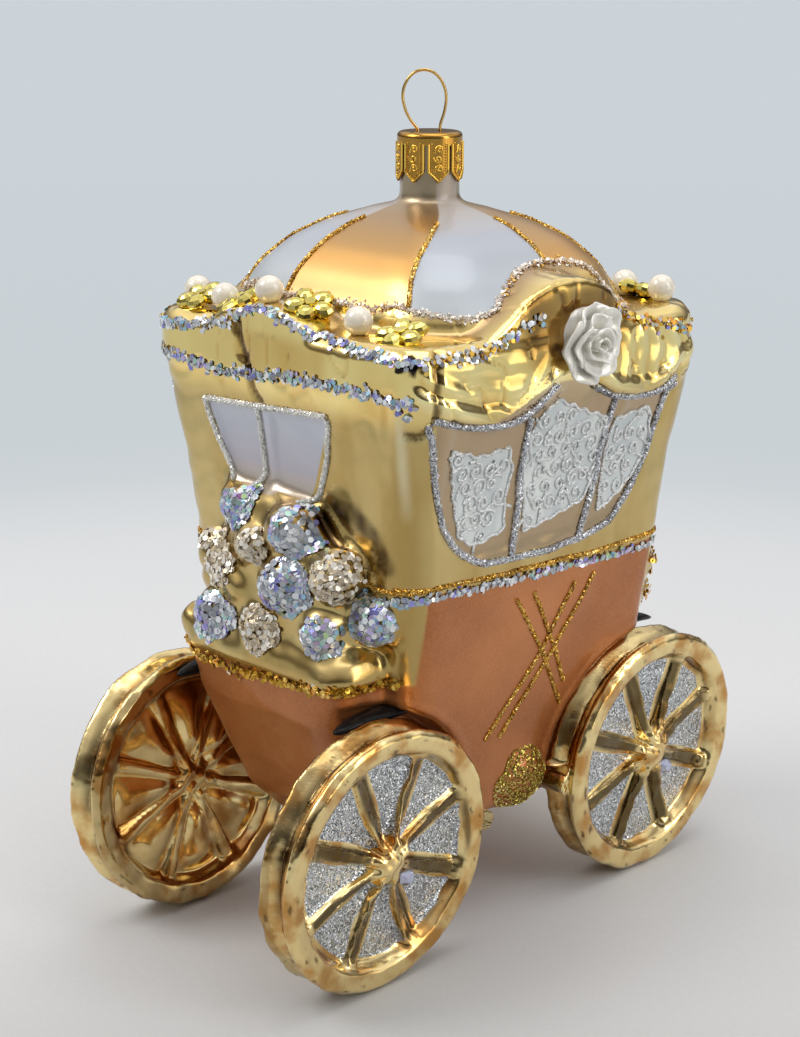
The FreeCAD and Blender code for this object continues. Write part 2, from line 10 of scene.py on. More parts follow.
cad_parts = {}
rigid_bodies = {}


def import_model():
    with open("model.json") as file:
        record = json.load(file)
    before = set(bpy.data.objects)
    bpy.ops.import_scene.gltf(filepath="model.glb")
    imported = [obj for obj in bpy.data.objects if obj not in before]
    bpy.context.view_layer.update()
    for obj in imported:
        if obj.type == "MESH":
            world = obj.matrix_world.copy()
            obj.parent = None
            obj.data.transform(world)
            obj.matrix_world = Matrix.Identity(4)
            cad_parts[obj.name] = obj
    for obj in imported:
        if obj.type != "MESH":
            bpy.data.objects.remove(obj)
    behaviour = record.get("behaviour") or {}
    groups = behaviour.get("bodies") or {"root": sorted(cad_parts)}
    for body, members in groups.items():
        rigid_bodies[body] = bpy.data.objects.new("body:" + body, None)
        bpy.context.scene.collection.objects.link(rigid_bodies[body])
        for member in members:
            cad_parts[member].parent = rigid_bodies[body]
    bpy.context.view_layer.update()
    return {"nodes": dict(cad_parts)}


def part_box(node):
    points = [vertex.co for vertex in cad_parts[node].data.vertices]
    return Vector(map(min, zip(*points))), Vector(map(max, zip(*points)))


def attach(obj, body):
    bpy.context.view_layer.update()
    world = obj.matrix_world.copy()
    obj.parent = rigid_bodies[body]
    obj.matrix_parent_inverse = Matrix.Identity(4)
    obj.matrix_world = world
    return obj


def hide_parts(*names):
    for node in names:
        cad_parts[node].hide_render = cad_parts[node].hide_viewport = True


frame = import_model()
bpy.ops.object.select_all(action="DESELECT")
mm = 0.001
random.seed(7)
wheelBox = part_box("front_left_wheel")
hubY = abs(wheelBox[0].y + wheelBox[1].y) / 2 / mm  # each hub is this far before or behind the middle
hubZ = (wheelBox[0].z + wheelBox[1].z) / 2 / mm
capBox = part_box("hanger_cap")
neckY = sum(v.y for v in capBox) / 2 / mm
corners = (("front_left", 1, -1), ("front_right", -1, -1), ("rear_left", 1, 1), ("rear_right", -1, 1))
print("stage: frame loaded")


def selectOnly(obj):
    bpy.ops.object.select_all(action="DESELECT")
    obj.select_set(True)
    bpy.context.view_layer.objects.active = obj


def applyAll(obj):
    selectOnly(obj)
    for modifier in list(obj.modifiers):
        bpy.ops.object.modifier_apply(modifier=modifier.name)


def joinInto(main, others):
    selectOnly(main)
    for other in others:
        other.select_set(True)
    bpy.ops.object.join()
    return main


def settle(obj):  # puts the object's place into its mesh
    selectOnly(obj)
    bpy.ops.object.transform_apply(location=True, rotation=True, scale=True)
    return obj


def finishPiece(obj, name, body, material=None, replaced=()):
    obj.name = name
    obj.data.name = name
    if material is not None:
        obj.data.materials.clear()
        obj.data.materials.append(material)
    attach(obj, body)
    if replaced:
        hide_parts(*replaced)
    return obj


def addEase(obj, factor, rounds, group=""):
    ease = obj.modifiers.new("ease", "SMOOTH")
    ease.factor = factor
    ease.iterations = rounds
    ease.vertex_group = group


def remeshFine(obj, voxel, rounds):  # one even skin, eased
    remesh = obj.modifiers.new("remesh", "REMESH")
    remesh.mode = "VOXEL"
    remesh.voxel_size = voxel * mm
    addEase(obj, 0.5, rounds)
    applyAll(obj)


def tubeFrom(name, lines, radius, resolution=1, longest=1e9, caps=True):  # round tubes along lines
    vertices, edges = [], []
    for line in lines:
        for index, place in enumerate(line):
            vertices.append(place)
            if index and (vertices[-1] - vertices[-2]).length < longest * mm:
                edges.append((len(vertices) - 2, len(vertices) - 1))
    mesh = bpy.data.meshes.new(name)
    mesh.from_pydata(vertices, edges, [])
    obj = bpy.data.objects.new(name, mesh)
    bpy.context.scene.collection.objects.link(obj)
    selectOnly(obj)
    bpy.ops.object.convert(target="CURVE")
    curve = bpy.context.object.data
    curve.bevel_depth = radius * mm
    curve.bevel_resolution = resolution
    curve.use_fill_caps = caps
    bpy.ops.object.convert(target="MESH")
    bpy.ops.object.shade_smooth()
    return bpy.context.object


def soft(value, low, high):  # smooth step from 0 at low to 1 at high
    share = min(max((value - low) / (high - low), 0.0), 1.0)
    return share * share * (3 - 2 * share)


def within(value, low, high, edge):  # 1 between low and high, 0 outside
    return soft(value, low - edge, low + edge) * (1 - soft(value, high - edge, high + edge))


def ripple(point, size, seed):  # smooth noise from -1 to 1, with waves about size long
    return noise.noise(Vector(point) / size + Vector((seed * 3.1, seed * 7.7, seed * 1.3)))


def pathHeight(points, at):  # height of a given line of (place, height) points
    if at <= points[0][0]:
        return points[0][1]
    for (a, low), (b, high) in zip(points, points[1:]):
        if at <= b:
            return low + (high - low) * (at - a) / (b - a)
    return points[-1][1]


def inside(polygon, y, z):
    hit = False
    for (y1, z1), (y2, z2) in zip(polygon, polygon[1:] + polygon[:1]):
        if (z1 > z) != (z2 > z) and y < (y2 - y1) * (z - z1) / (z2 - z1) + y1:
            hit = not hit
    return hit


def edgeDistance(polygon, y, z):
    best = 1e9
    for (y1, z1), (y2, z2) in zip(polygon, polygon[1:] + polygon[:1]):
        along = (y2 - y1) ** 2 + (z2 - z1) ** 2
        share = min(max(((y - y1) * (y2 - y1) + (z - z1) * (z2 - z1)) / along, 0), 1)
        best = min(best, math.hypot(y - y1 - share * (y2 - y1), z - z1 - share * (z2 - z1)))
    return best


def ownReach(polygon, y, z):  # distance from the outline, positive inside it
    reach = edgeDistance(polygon, y, z)
    return reach if inside(polygon, y, z) else -reach


def srgb(*values):
    return tuple(v / 12.92 if v <= 0.04045 else ((v + 0.055) / 1.055) ** 2.4 for v in values)


def addNode(tree, kind, **settings):
    node = tree.nodes.new(kind)
    for name, value in settings.items():
        setattr(node, name, value)
    return node


def feed(tree, socket, value):  # a link from another node, or the socket's own value
    if isinstance(value, bpy.types.NodeSocket):
        tree.links.new(value, socket)
    elif socket.type == "RGBA":
        socket.default_value = (*value, 1)
    else:
        socket.default_value = value


def mixColor(tree, factor, first, second, blend="MIX"):
    node = addNode(tree, "ShaderNodeMix", data_type="RGBA", blend_type=blend)
    for index, value in ((0, factor), (6, first), (7, second)):
        feed(tree, node.inputs[index], value)
    return node.outputs[2]


def mixValue(tree, factor, first, second):
    node = addNode(tree, "ShaderNodeMix", data_type="FLOAT")
    for index, value in ((0, factor), (2, first), (3, second)):
        feed(tree, node.inputs[index], value)
    return node.outputs[0]


def maths(tree, operation, *values):
    node = addNode(tree, "ShaderNodeMath", operation=operation)
    for socket, value in zip(node.inputs, values):
        feed(tree, socket, value)
    return node.outputs[0]


def vectorMaths(tree, operation, *values):
    node = addNode(tree, "ShaderNodeVectorMath", operation=operation)
    for socket, value in zip(node.inputs, values):
        feed(tree, socket, value)
    return node.outputs["Value" if operation in ("LENGTH", "DOT_PRODUCT") else "Vector"]


def objectPlace(tree):
    return addNode(tree, "ShaderNodeTexCoord").outputs["Object"]


def splitXyz(tree, value):
    node = addNode(tree, "ShaderNodeSeparateXYZ")
    feed(tree, node.inputs[0], value)
    return node.outputs


def rangeOf(tree, value, low, high, kind="SMOOTHSTEP"):  # 0 at low to 1 at high
    node = addNode(tree, "ShaderNodeMapRange", interpolation_type=kind)
    for name, source in (("From Min", low), ("From Max", high), ("Value", value)):
        feed(tree, node.inputs[name], source)
    return node.outputs["Result"]


def ramp(tree, value, stops, interpolation="LINEAR"):
    node = addNode(tree, "ShaderNodeValToRGB")
    node.color_ramp.interpolation = interpolation
    while len(node.color_ramp.elements) < len(stops):
        node.color_ramp.elements.new(0.5)
    for element, (place, color) in zip(node.color_ramp.elements, stops):
        element.position = place
        element.color = (*color, 1)
    tree.links.new(value, node.inputs[0])
    return node.outputs[0]


def attribute(tree, name):
    return addNode(tree, "ShaderNodeAttribute", attribute_name=name).outputs["Fac"]


def newGroup(name, inputs, outputs):
    group = bpy.data.node_groups.new(name, "ShaderNodeTree")
    for label, kind, value in inputs:
        socket = group.interface.new_socket(label, in_out="INPUT", socket_type=kind)
        socket.default_value = value
    for label, kind in outputs:
        group.interface.new_socket(label, in_out="OUTPUT", socket_type=kind)
    return group, group.nodes.new("NodeGroupInput"), group.nodes.new("NodeGroupOutput")


def makeMottle():  # cloudy patches on the object, stretched along Z by Stretch
    group, ins, outs = newGroup("mottle", [
        ("Scale", "NodeSocketFloat", 60.0), ("Stretch", "NodeSocketFloat", 1.0),
        ("Low", "NodeSocketFloat", 0.4), ("High", "NodeSocketFloat", 0.6),
    ], [("Mask", "NodeSocketFloat")])
    squeeze = addNode(group, "ShaderNodeCombineXYZ")
    for socket, value in zip(squeeze.inputs, (1, 1, ins.outputs["Stretch"])):
        feed(group, socket, value)
    cloud = addNode(group, "ShaderNodeTexNoise")
    place = vectorMaths(group, "MULTIPLY", objectPlace(group), squeeze.outputs[0])
    for name, value in (("Vector", place), ("Scale", ins.outputs["Scale"]), ("Detail", 3)):
        feed(group, cloud.inputs[name], value)
    mask = rangeOf(group, cloud.outputs["Fac"], ins.outputs["Low"], ins.outputs["High"])
    feed(group, outs.inputs["Mask"], mask)
    return group


def makeSparkle():  # each fine cell gets its own shade and its own tilt
    group, ins, outs = newGroup("sparkle", [
        ("Scale", "NodeSocketFloat", 4000.0), ("Tilt", "NodeSocketFloat", 0.6),
    ], [("Shade", "NodeSocketFloat"), ("Normal", "NodeSocketVector")])
    cells = addNode(group, "ShaderNodeTexVoronoi")
    feed(group, cells.inputs["Vector"], objectPlace(group))
    feed(group, cells.inputs["Scale"], ins.outputs["Scale"])
    tilted = addNode(group, "ShaderNodeVectorMath", operation="SCALE")
    feed(group, tilted.inputs[0], vectorMaths(group, "SUBTRACT", cells.outputs["Color"], (0.5, 0.5, 0.5)))
    feed(group, tilted.inputs["Scale"], ins.outputs["Tilt"])
    facing = addNode(group, "ShaderNodeNewGeometry").outputs["Normal"]
    leaning = vectorMaths(group, "ADD", facing, tilted.outputs[0])
    shade = addNode(group, "ShaderNodeSeparateColor")
    feed(group, shade.inputs[0], cells.outputs["Color"])
    feed(group, outs.inputs["Shade"], shade.outputs[0])
    feed(group, outs.inputs["Normal"], vectorMaths(group, "NORMALIZE", leaning))
    return group


mottleGroup = makeMottle()
sparkleGroup = makeSparkle()


def placeGroup(tree, group, **values):
    node = addNode(tree, "ShaderNodeGroup", node_tree=group)
    for name, value in values.items():
        feed(tree, node.inputs[name], value)
    return node.outputs


def newMaterial(name, sockets):
    material = bpy.data.materials.new(name)
    material.use_nodes = True
    tree = material.node_tree
    shader = tree.nodes["Principled BSDF"]
    for label, value in sockets.items():
        feed(tree, shader.inputs[label], value)
    return material, tree, shader.inputs


stageLook = {
    "eye": (0.25014, -0.25636, 0.16802), "azimuth": 44.793, "elevation": 15.445, "roll": 0.179,
    "lens": 72.67, "sensor": 36, "power": 0.70,
    "floor": 12, "glow": (0.12, 0.42), "glowSpan": 1.6, "forward": (7.0, -7.0, 0.0),
    "nearColor": (0.61, 0.615, 0.62), "weaveColor": (0.48, 0.47, 0.48), "eyeSideShadeColor": (0.72, 0.72, 0.71),
    "paleColor": (0.72, 0.76, 0.785), "midColor": (0.585, 0.635, 0.665), "farColor": (0.60, 0.65, 0.69),
    "towardEye": (0.7, -0.7, 0.1), "dimColor": (0.28, 0.26, 0.24),
}


def makeCamera():
    azimuth = math.radians(stageLook["azimuth"])
    elevation = math.radians(stageLook["elevation"])
    back = Vector((math.sin(azimuth) * math.cos(elevation), -math.cos(azimuth) * math.cos(elevation),
                   math.sin(elevation)))
    right = Vector((math.cos(azimuth), math.sin(azimuth), 0))
    roll = Matrix.Rotation(math.radians(stageLook["roll"]), 3, "Z")
    turn = Matrix((right, back.cross(right), back)).transposed() @ roll
    camera = bpy.data.objects.new("camera", bpy.data.cameras.new("camera"))
    bpy.context.scene.collection.objects.link(camera)
    camera.matrix_world = Matrix.Translation(stageLook["eye"]) @ turn.to_4x4()
    camera.data.lens = stageLook["lens"]
    camera.data.sensor_width = stageLook["sensor"]
    camera.data.clip_start = 0.01
    bpy.context.scene.camera = camera


def makeFloor():  # plain cloth near the coach, painted darker towards the eye as painted shade, and an even glow of its own further off
    bpy.ops.mesh.primitive_circle_add(vertices=64, radius=stageLook["floor"], fill_type="NGON")
    floor = bpy.context.object
    floor.name = "floor"
    material, tree, inputs = newMaterial("paleCloth", {"Roughness": 0.9})
    floor.data.materials.append(material)
    reach = vectorMaths(tree, "LENGTH", objectPlace(tree))
    far = rangeOf(tree, reach, *stageLook["glow"])
    distant = ramp(tree, maths(tree, "DIVIDE", reach, stageLook["glowSpan"]), [
        (0.08, stageLook["paleColor"]), (0.135, stageLook["paleColor"]),
        (0.195, stageLook["midColor"]), (0.9, stageLook["farColor"])])
    weave = placeGroup(tree, mottleGroup, Scale=900.0, Low=0.3, High=0.7)["Mask"]
    faint = maths(tree, "MULTIPLY", weave, 0.12)
    near = mixColor(tree, faint, stageLook["nearColor"], stageLook["weaveColor"])
    forward = vectorMaths(tree, "DOT_PRODUCT", objectPlace(tree), stageLook["forward"])
    # painted shade: the cloth darkens towards the eye
    eyeSideShade = ramp(tree, forward, [(0.15, (1, 1, 1)), (0.8, stageLook["eyeSideShadeColor"])])
    feed(tree, inputs["Base Color"], mixColor(tree, 1.0, near, eyeSideShade, "MULTIPLY"))
    glow = addNode(tree, "ShaderNodeEmission")
    feed(tree, glow.inputs["Color"], distant)
    rays = addNode(tree, "ShaderNodeLightPath").outputs
    mirrored = maths(tree, "MAXIMUM", rays["Is Glossy Ray"], rays["Is Transmission Ray"])
    seen = maths(tree, "MULTIPLY", maths(tree, "MAXIMUM", rays["Is Camera Ray"], mirrored), far)
    blend = addNode(tree, "ShaderNodeMixShader")
    cloth = tree.nodes["Principled BSDF"].outputs[0]
    for socket, value in zip(blend.inputs, (seen, cloth, glow.outputs[0])):
        feed(tree, socket, value)
    feed(tree, tree.nodes["Material Output"].inputs["Surface"], blend.outputs[0])


def makeWorld():  # a bright ceiling over a dim horizon, and a dark side towards the eye
    world = bpy.data.worlds.new("room")
    bpy.context.scene.world = world
    world.use_nodes = True
    tree = world.node_tree
    direction = addNode(tree, "ShaderNodeTexCoord").outputs["Generated"]
    upward = maths(tree, "MULTIPLY_ADD", splitXyz(tree, direction)["Z"], 0.5, 0.5)
    height = ramp(tree, upward, [
        (0.48, (0.45, 0.42, 0.38)), (0.55, (0.16, 0.15, 0.14)), (0.64, (0.42, 0.42, 0.43)),
        (0.78, (1.5, 1.5, 1.54)), (1.0, (1.0, 1.0, 1.0))])
    toward = vectorMaths(tree, "DOT_PRODUCT", direction, stageLook["towardEye"])
    dim = ramp(tree, toward, [(0.45, (1, 1, 1)), (0.95, stageLook["dimColor"])])
    room = mixColor(tree, 1.0, height, dim, "MULTIPLY")
    seen = addNode(tree, "ShaderNodeLightPath").outputs["Is Camera Ray"]
    wall = tuple(c / stageLook["power"] for c in stageLook["farColor"])
    sky = tree.nodes["Background"].inputs
    feed(tree, sky["Color"], mixColor(tree, seen, room, wall))
    feed(tree, sky["Strength"], stageLook["power"])


def addLamp(name, place, target, size, power, color):
    lamp = bpy.data.objects.new(name, bpy.data.lights.new(name, "AREA"))
    bpy.context.scene.collection.objects.link(lamp)
    lamp.location = place
    lamp.rotation_euler = (Vector(target) - Vector(place)).to_track_quat("-Z", "Y").to_euler()
    lamp.data.shape = "RECTANGLE"
    lamp.data.size, lamp.data.size_y = size
    lamp.data.energy = power * stageLook["power"]
    lamp.data.color = color


makeCamera()
makeFloor()
makeWorld()
addLamp("keyLamp", (-0.30, -0.42, 0.62), (0, 0, 0.07), (0.34, 0.34), 3.4, (1.0, 0.97, 0.93))
addLamp("sideLamp", (0.62, 0.18, 0.36), (0, 0, 0.07), (0.22, 0.5), 1.8, (0.96, 0.98, 1.0))
addLamp("lowLamp", (0.60, 0.24, 0.11), (0, 0, 0.09), (0.5, 0.2), 0.5, (1.0, 0.86, 0.62))
addLamp("topLamp", (0.06, 0.05, 0.75), (0, 0, 0.07), (0.5, 0.5), 2.2, (1.0, 1.0, 1.0))
bpy.context.scene.view_settings.view_transform = "Standard"
print("stage: camera, floor and light")


shellLook = {
    "voxel": 0.63, "neckWall": 1.0, "boreDepth": 16.6,
    "waist": [(-36, 68), (-29.5, 67), (-22, 67), (-9, 66), (6.5, 65.5), (17.5, 65), (31.5, 65.5)],
    "tubTop": 50.4, "copperFront": -25.6, "copperBack": 31.5, "copperSide": 19, "archRadius": 25.4,
    # flower heads: place, radius and the way they face
    "heads": [(-8, -33.5, 76, 3.9, -0.3, -1, 0.1), (8, -36.5, 75.5, 4.4, 0.1, -1, 0.15),
              (7.5, -39, 66, 4.9, 0.1, -1, 0), (-11, -38.4, 57, 4.3, -0.4, -1, 0),
              (14.5, -38, 59, 3.6, 0.1, -1, 0.1), (21, -32, 61.5, 3.9, 0.7, -0.8, 0)],
    "paleHeads": [(-1, -37.5, 71.5, 3.0, 0, -1, 0.1), (-10.5, -36.7, 66, 4.0, -0.3, -1, 0),
                  (17, -36.3, 69, 4.5, 0.3, -1, 0.1), (1, -39, 57.5, 4.1, 0, -1, 0),
                  (-14.5, -34.5, 70.5, 2.7, -0.7, -0.8, 0)],
    # creases, a painted dark reflection and a painted highlight streak, as lines in space
    "crease": [(8.8, -31.6, 77.4), (10.4, -31.5, 75.4), (14, -32, 73), (17.6, -30.4, 68.6)],
    "smearedShade": [(10, -30.8, 79), (15.8, -30.8, 78.7), (19.5, -30.5, 76), (22.4, -30.1, 71.4)],
    "hemCrease": [(31.3, -28, 107.2), (32.4, -29.1, 105.6), (32.4, -29, 102), (32.3, -29.2, 99.2),
                  (31.9, -28.7, 96.5)],
    "bowCrease": [(-9.6, -33.5, 107.9), (-8.7, -33.7, 105.3), (-7.5, -33.7, 102.6), (-6.4, -33.6, 100),
                  (-6.1, -33.1, 96.6), (-4.6, -32.7, 94.6)],
    "cornerCrease": [(28.5, -31.8, 94.1), (29.6, -31, 93.8), (30.7, -29.9, 94.5), (31.5, -29.2, 95.4)],
    "pale": [(27.5, -32.2, 97), (27.2, -31.4, 89), (26.8, -30, 80)],
    # swellings of the glass: place, height and radius
    "bulge": ((-19, -35.7, 55), 2.4, 4.4),
    "rolls": [((24.5, 35.5, 59), 1.3), ((24.5, 36.5, 52.6), 1.6), ((24.5, 36.5, 46.5), 1.0)],
    "rollRadius": 4.2,
    # painted shade on the pediments: depth, band of heights, band along the face
    "sideShade": (0.85, (101.5, 114, 1.5), (-10, 15, 3)),
    "frontShade": (0.4, (99, 106, 1.5), (-8, 12, 2)),
    "neckFade": (116.0, 122.0), "domeStart": 106.5, "neckFoot": 123,
    "sidePanes": [
        [(-24, 90.5), (-17, 88.5), (-10, 89), (-8, 84.5), (-9, 79.5), (-8.5, 74.5), (-15.5, 73),
         (-19.5, 75)],
        [(0.5, 95.5), (9, 92), (14, 90.5), (14.5, 82.5), (11, 76), (2, 74), (-3.5, 73), (-5, 82.5),
         (-5.5, 89.5), (-3, 94)],
        [(16.5, 89.5), (26, 90.5), (28, 83.5), (24.5, 78.5), (21, 75.5), (15.5, 73), (15.5, 78.5),
         (15.5, 86)],
    ],
    # foot of the dome seen from above, and its seams: degrees at the foot and at the neck
    "domeFoot": [(0, -22.7), (12, -22.8), (20.5, -21.2), (24.2, -18.7), (26.7, -15.5), (27.8, -11),
                 (26.7, -7.5), (25, -3.5), (23.6, 0.5), (23.2, 5), (23.4, 10), (24.5, 13.5), (26.8, 18),
                 (27.6, 21.5), (25.5, 25), (20, 27), (12, 28), (0, 28)],
    "seams": [(-137, -139), (-110, -111), (-52, -33), (9, 17), (47, 45), (91, 91), (135, 135),
              (179, 179)],
    "chip": (29.8, -32.4, 105.4),
    "swag": [(-34, 100), (-29, 97), (-19.5, 94), (-12.5, 93.5), (-8, 94.5), (-1.5, 98.5), (4, 100),
             (9, 97.5), (14.5, 94), (22, 93), (26, 93.5), (30.5, 97), (40, 99)],
    "sideField": [(-28.5, 97), (-28, 89.5), (-26, 82.5), (-23.5, 77.5), (-20, 73), (-14, 70), (11.5, 69),
                  (19, 70.5), (24, 75.5), (27.5, 82), (30, 94.5), (19, 93), (6, 98.5), (-3, 99),
                  (-17, 94)],
    "frontPanes": [[(-18.5, 93), (-5.5, 93.5), (-6, 79), (-13, 79.5)],
                   [(-5, 93.5), (11.5, 94.5), (5.5, 79), (-5.5, 79)]],
}


def copyNode(node, name):
    source = frame["nodes"][node]
    obj = bpy.data.objects.new(name, source.data.copy())
    bpy.context.scene.collection.objects.link(obj)
    selectOnly(obj)
    bpy.ops.object.mode_set(mode="EDIT")
    bpy.ops.mesh.select_all(action="SELECT")
    bpy.ops.mesh.remove_doubles(threshold=0.00001)
    bpy.ops.object.mode_set(mode="OBJECT")
    return obj


def selectWhere(obj, test):  # faces whose centre in millimetres passes the test
    bpy.ops.object.mode_set(mode="EDIT")
    bpy.ops.mesh.select_mode(type="FACE")
    bpy.ops.mesh.select_all(action="DESELECT")
    bpy.ops.object.mode_set(mode="OBJECT")
    for face in obj.data.polygons:
        if test(face.center / mm, face.normal):
            face.select = True
    bpy.ops.object.mode_set(mode="EDIT")


def openShell():  # keeps the outer skin only, with a short bore down the neck
    shell = copyNode("glass_body", "coach_shell")
    top = max(v.co.z for v in shell.data.vertices) / mm
    selectWhere(shell, lambda c, n: c.z > top - 0.02)
    bpy.ops.mesh.delete(type="FACE")
    bpy.ops.mesh.select_mode(type="VERT")
    bpy.ops.mesh.select_all(action="DESELECT")
    bpy.ops.object.mode_set(mode="OBJECT")
    outermost = max(shell.data.vertices, key=lambda v: v.co.x)
    outermost.select = True
    bpy.ops.object.mode_set(mode="EDIT")
    bpy.ops.mesh.select_linked()
    bpy.ops.mesh.select_all(action="INVERT")
    bpy.ops.mesh.delete(type="VERT")
    bpy.ops.mesh.select_mode(type="EDGE")
    bpy.ops.mesh.select_all(action="DESELECT")
    bpy.ops.mesh.select_non_manifold()
    bpy.ops.mesh.edge_face_add()
    bpy.ops.mesh.select_mode(type="FACE")
    bpy.ops.mesh.inset(thickness=shellLook["neckWall"] * mm)
    bore = (0, 0, -shellLook["boreDepth"] * mm)
    bpy.ops.mesh.extrude_region_move(TRANSFORM_OT_translate={"value": bore})
    bpy.ops.mesh.select_all(action="SELECT")
    bpy.ops.mesh.normals_make_consistent(inside=False)
    bpy.ops.object.mode_set(mode="OBJECT")
    return shell


def lineGap(points, p):  # distance from a given line in space
    best = 1e9
    for start, end in zip(points, points[1:]):
        start, along = Vector(start), Vector(end) - Vector(start)
        share = min(max((p - start).dot(along) / along.length_squared, 0), 1)
        best = min(best, (p - start - along * share).length)
    return best


def headSwell(p):  # 1 at the middle of a flower head, 0 past its edge
    swell = 0.0
    for x, y, z, radius, *_ in shellLook["heads"] + shellLook["paleHeads"]:
        away = ((p.x - x) ** 2 + (p.y - y) ** 2 + (p.z - z) ** 2) / (radius * 1.15) ** 2
        swell = max(swell, 1 - away)
    return swell


def creaseGap(p):  # millimetres from the nearest sharp crease of the upper cloth
    return min(lineGap(shellLook[name], p) for name in ("hemCrease", "cornerCrease", "bowCrease"))


def archReach(y, z):
    return min(math.hypot(y - hubY, z - hubZ), math.hypot(y + hubY, z - hubZ))


domePlan = shellLook["domeFoot"] + [(-x, y) for x, y in shellLook["domeFoot"][-2:0:-1]]


def domeReach(p):  # millimetres inside the foot of the dome
    rise = p.z - shellLook["domeStart"]
    return max(rise, -5) if rise < 0 else min(ownReach(domePlan, p.x, p.y), rise)


def shellShift(p, n):  # how far the blown skin stands off the drawn one, in millimetres
    domeShare = soft(domeReach(p), -0.5, 1.5)
    cornice = soft(p.z, 90, 96) * (1 - domeShare)
    sideFacing = soft(abs(n.x), 0.55, 0.8) * soft(abs(p.x), 22, 25)
    panel = shellLook["sideField"]
    field = sideFacing * soft(edgeDistance(panel, p.y, p.z), 0, 1.5) * inside(panel, p.y, p.z)
    shift = 0.16 * ripple(p, 11, 1) + 0.05 * ripple(p, 4, 2)
    cabin = within(p.z, 54, 92, 2) * (1 - field)  # the cabin's walls are streaked
    streak = Vector((p.x, p.y, p.z * 0.3))
    shift += cabin * (0.26 * ripple(streak, 6, 3) + 0.10 * ripple(p, 3.2, 4))
    warp = Vector((p.x + 2.2 * ripple(p, 7, 5), p.y + 2.2 * ripple(p, 7, 6),
                   p.z * 0.55 + 1.8 * ripple(p, 8, 7)))
    front = soft(-n.y, 0.5, 0.8)
    cloth = cornice * (1 - 0.8 * field) * (1 - 0.45 * front) * (1 - 0.5 * soft(p.z, 104, 107.5))
    folds = 0.6 * ripple(warp, 8.0, 8) + 0.12 * ripple(warp, 3.4, 9)
    creases = -0.5 * soft(1 - abs(ripple(warp, 7, 10)) * 15, 0, 1)
    shift += cloth * (folds + creases)
    hangs = sideFacing * within(p.z, 93, 104.5, 1.5) * (1 - field)  # the valance over the side panes
    above = p.z - pathHeight(shellLook["swag"], p.y)
    rear = soft(p.y, 8, 11)
    belly = 0.6 * within(above, 0.5, 3.0, 1.0)
    pleats = 0.22 * math.sin(p.y * 1.5 + above * 0.25 + 3.5 * ripple(p, 6, 14)) * rear
    swirl = 0.2 * math.sin(above * 1.5 + 3.5 * ripple(p, 7, 14)) * (1 - rear)
    swirl *= 1 - 0.6 * soft(above, 2, 9)
    shift += hangs * (belly + (pleats + swirl) * soft(above, 2, 4))
    if p.y < -27 and 52 < p.z < 82:  # the mound of flowers
        shift += 0.6 * headSwell(p) + 0.12 * ripple(p, 2.4, 11)
        gap = lineGap(shellLook["crease"], p)
        shift += 0.45 * within(gap, 1.1, 1.9, 0.4) - 0.8 * (1 - soft(gap, 0.2, 1.0))
    if p.z > 92 and p.y < -25:
        shift -= 0.5 * (1 - soft(creaseGap(p), 0.2, 1.2))
    place, height, radius = shellLook["bulge"]
    shift += height * (1 - soft(math.dist(p, place), 0.8, radius))
    lip = within(archReach(p.y, p.z), shellLook["archRadius"] - 1.4, shellLook["archRadius"], 0.8)
    lip *= soft(abs(p.x), 15, 18) * (1 - soft(p.z, 52, 54))
    shift += lip * (0.35 + 0.2 * ripple(p, 3, 12))
    for place, height in shellLook["rolls"]:
        away = math.dist((abs(p.x), p.y, p.z), place)
        shift += height * (1 - soft(away, 0.8, shellLook["rollRadius"]))
    return shift * (1 - domeShare * 0.75) * (1 - soft(p.z, *shellLook["neckFade"]))


def seamTurn(seam, z):  # degrees, swinging round a little towards the neck
    return seam[0] + (seam[1] - seam[0]) * min(max((z - 114) / 11, 0), 1) ** 2.5


def goreReach(p):  # millimetres into a gold gore, negative in a silver one
    turn = math.degrees(math.atan2(p.y - neckY, p.x))
    turns = [seamTurn(seam, p.z) for seam in shellLook["seams"]]
    for index, (low, high) in enumerate(zip(turns, turns[1:] + [turns[0] + 360])):
        past = (turn - low) % 360
        if past < high - low:
            reach = math.radians(min(past, high - low - past)) * math.hypot(p.x, p.y - neckY)
            return reach if index % 2 else -reach
    return 0.0


def paneReach(polygons, a, b):  # millimetres into the nearest pane, and no less than -5
    return max([-5.0] + [ownReach(polygon, a, b) for polygon in polygons])


def creaseShadeAt(p):  # painted shade in the creases of the mound and the cloth, and a painted dark reflection beside the mound
    if p.z > 92 and p.y < -25:
        return 0.85 * (1 - soft(creaseGap(p), 0.25, 0.8))
    if p.y < -27 and 55 < p.z < 84:
        smearedShade = 1 - soft(lineGap(shellLook["smearedShade"], p), 1.0, 2.4)
        line = 0.95 * (1 - soft(lineGap(shellLook["crease"], p), 0.6, 1.4))
        return max(line, smearedShade * (0.62 + 0.5 * ripple(p, 2.5, 16)))
    return 0.0


def highlightStreakAt(p):  # a painted highlight streaked down the cabin's front corner
    if p.y < -26 and p.z < 100:
        return 0.5 * (1 - soft(lineGap(shellLook["pale"], p), 0.1, 1.6)) * soft(p.z, 77, 87)
    return 0.0


def pedimentShadeAt(p, n):  # how much painted shade darkens the pediments
    shade = 0.0
    for key, along, facing in (("sideShade", p.y, abs(n.x)), ("frontShade", p.x, -n.y)):
        depth, heights, span = shellLook[key]
        shade += depth * within(p.z, *heights) * within(along, *span) * soft(facing, 0.5, 0.8)
    return shade


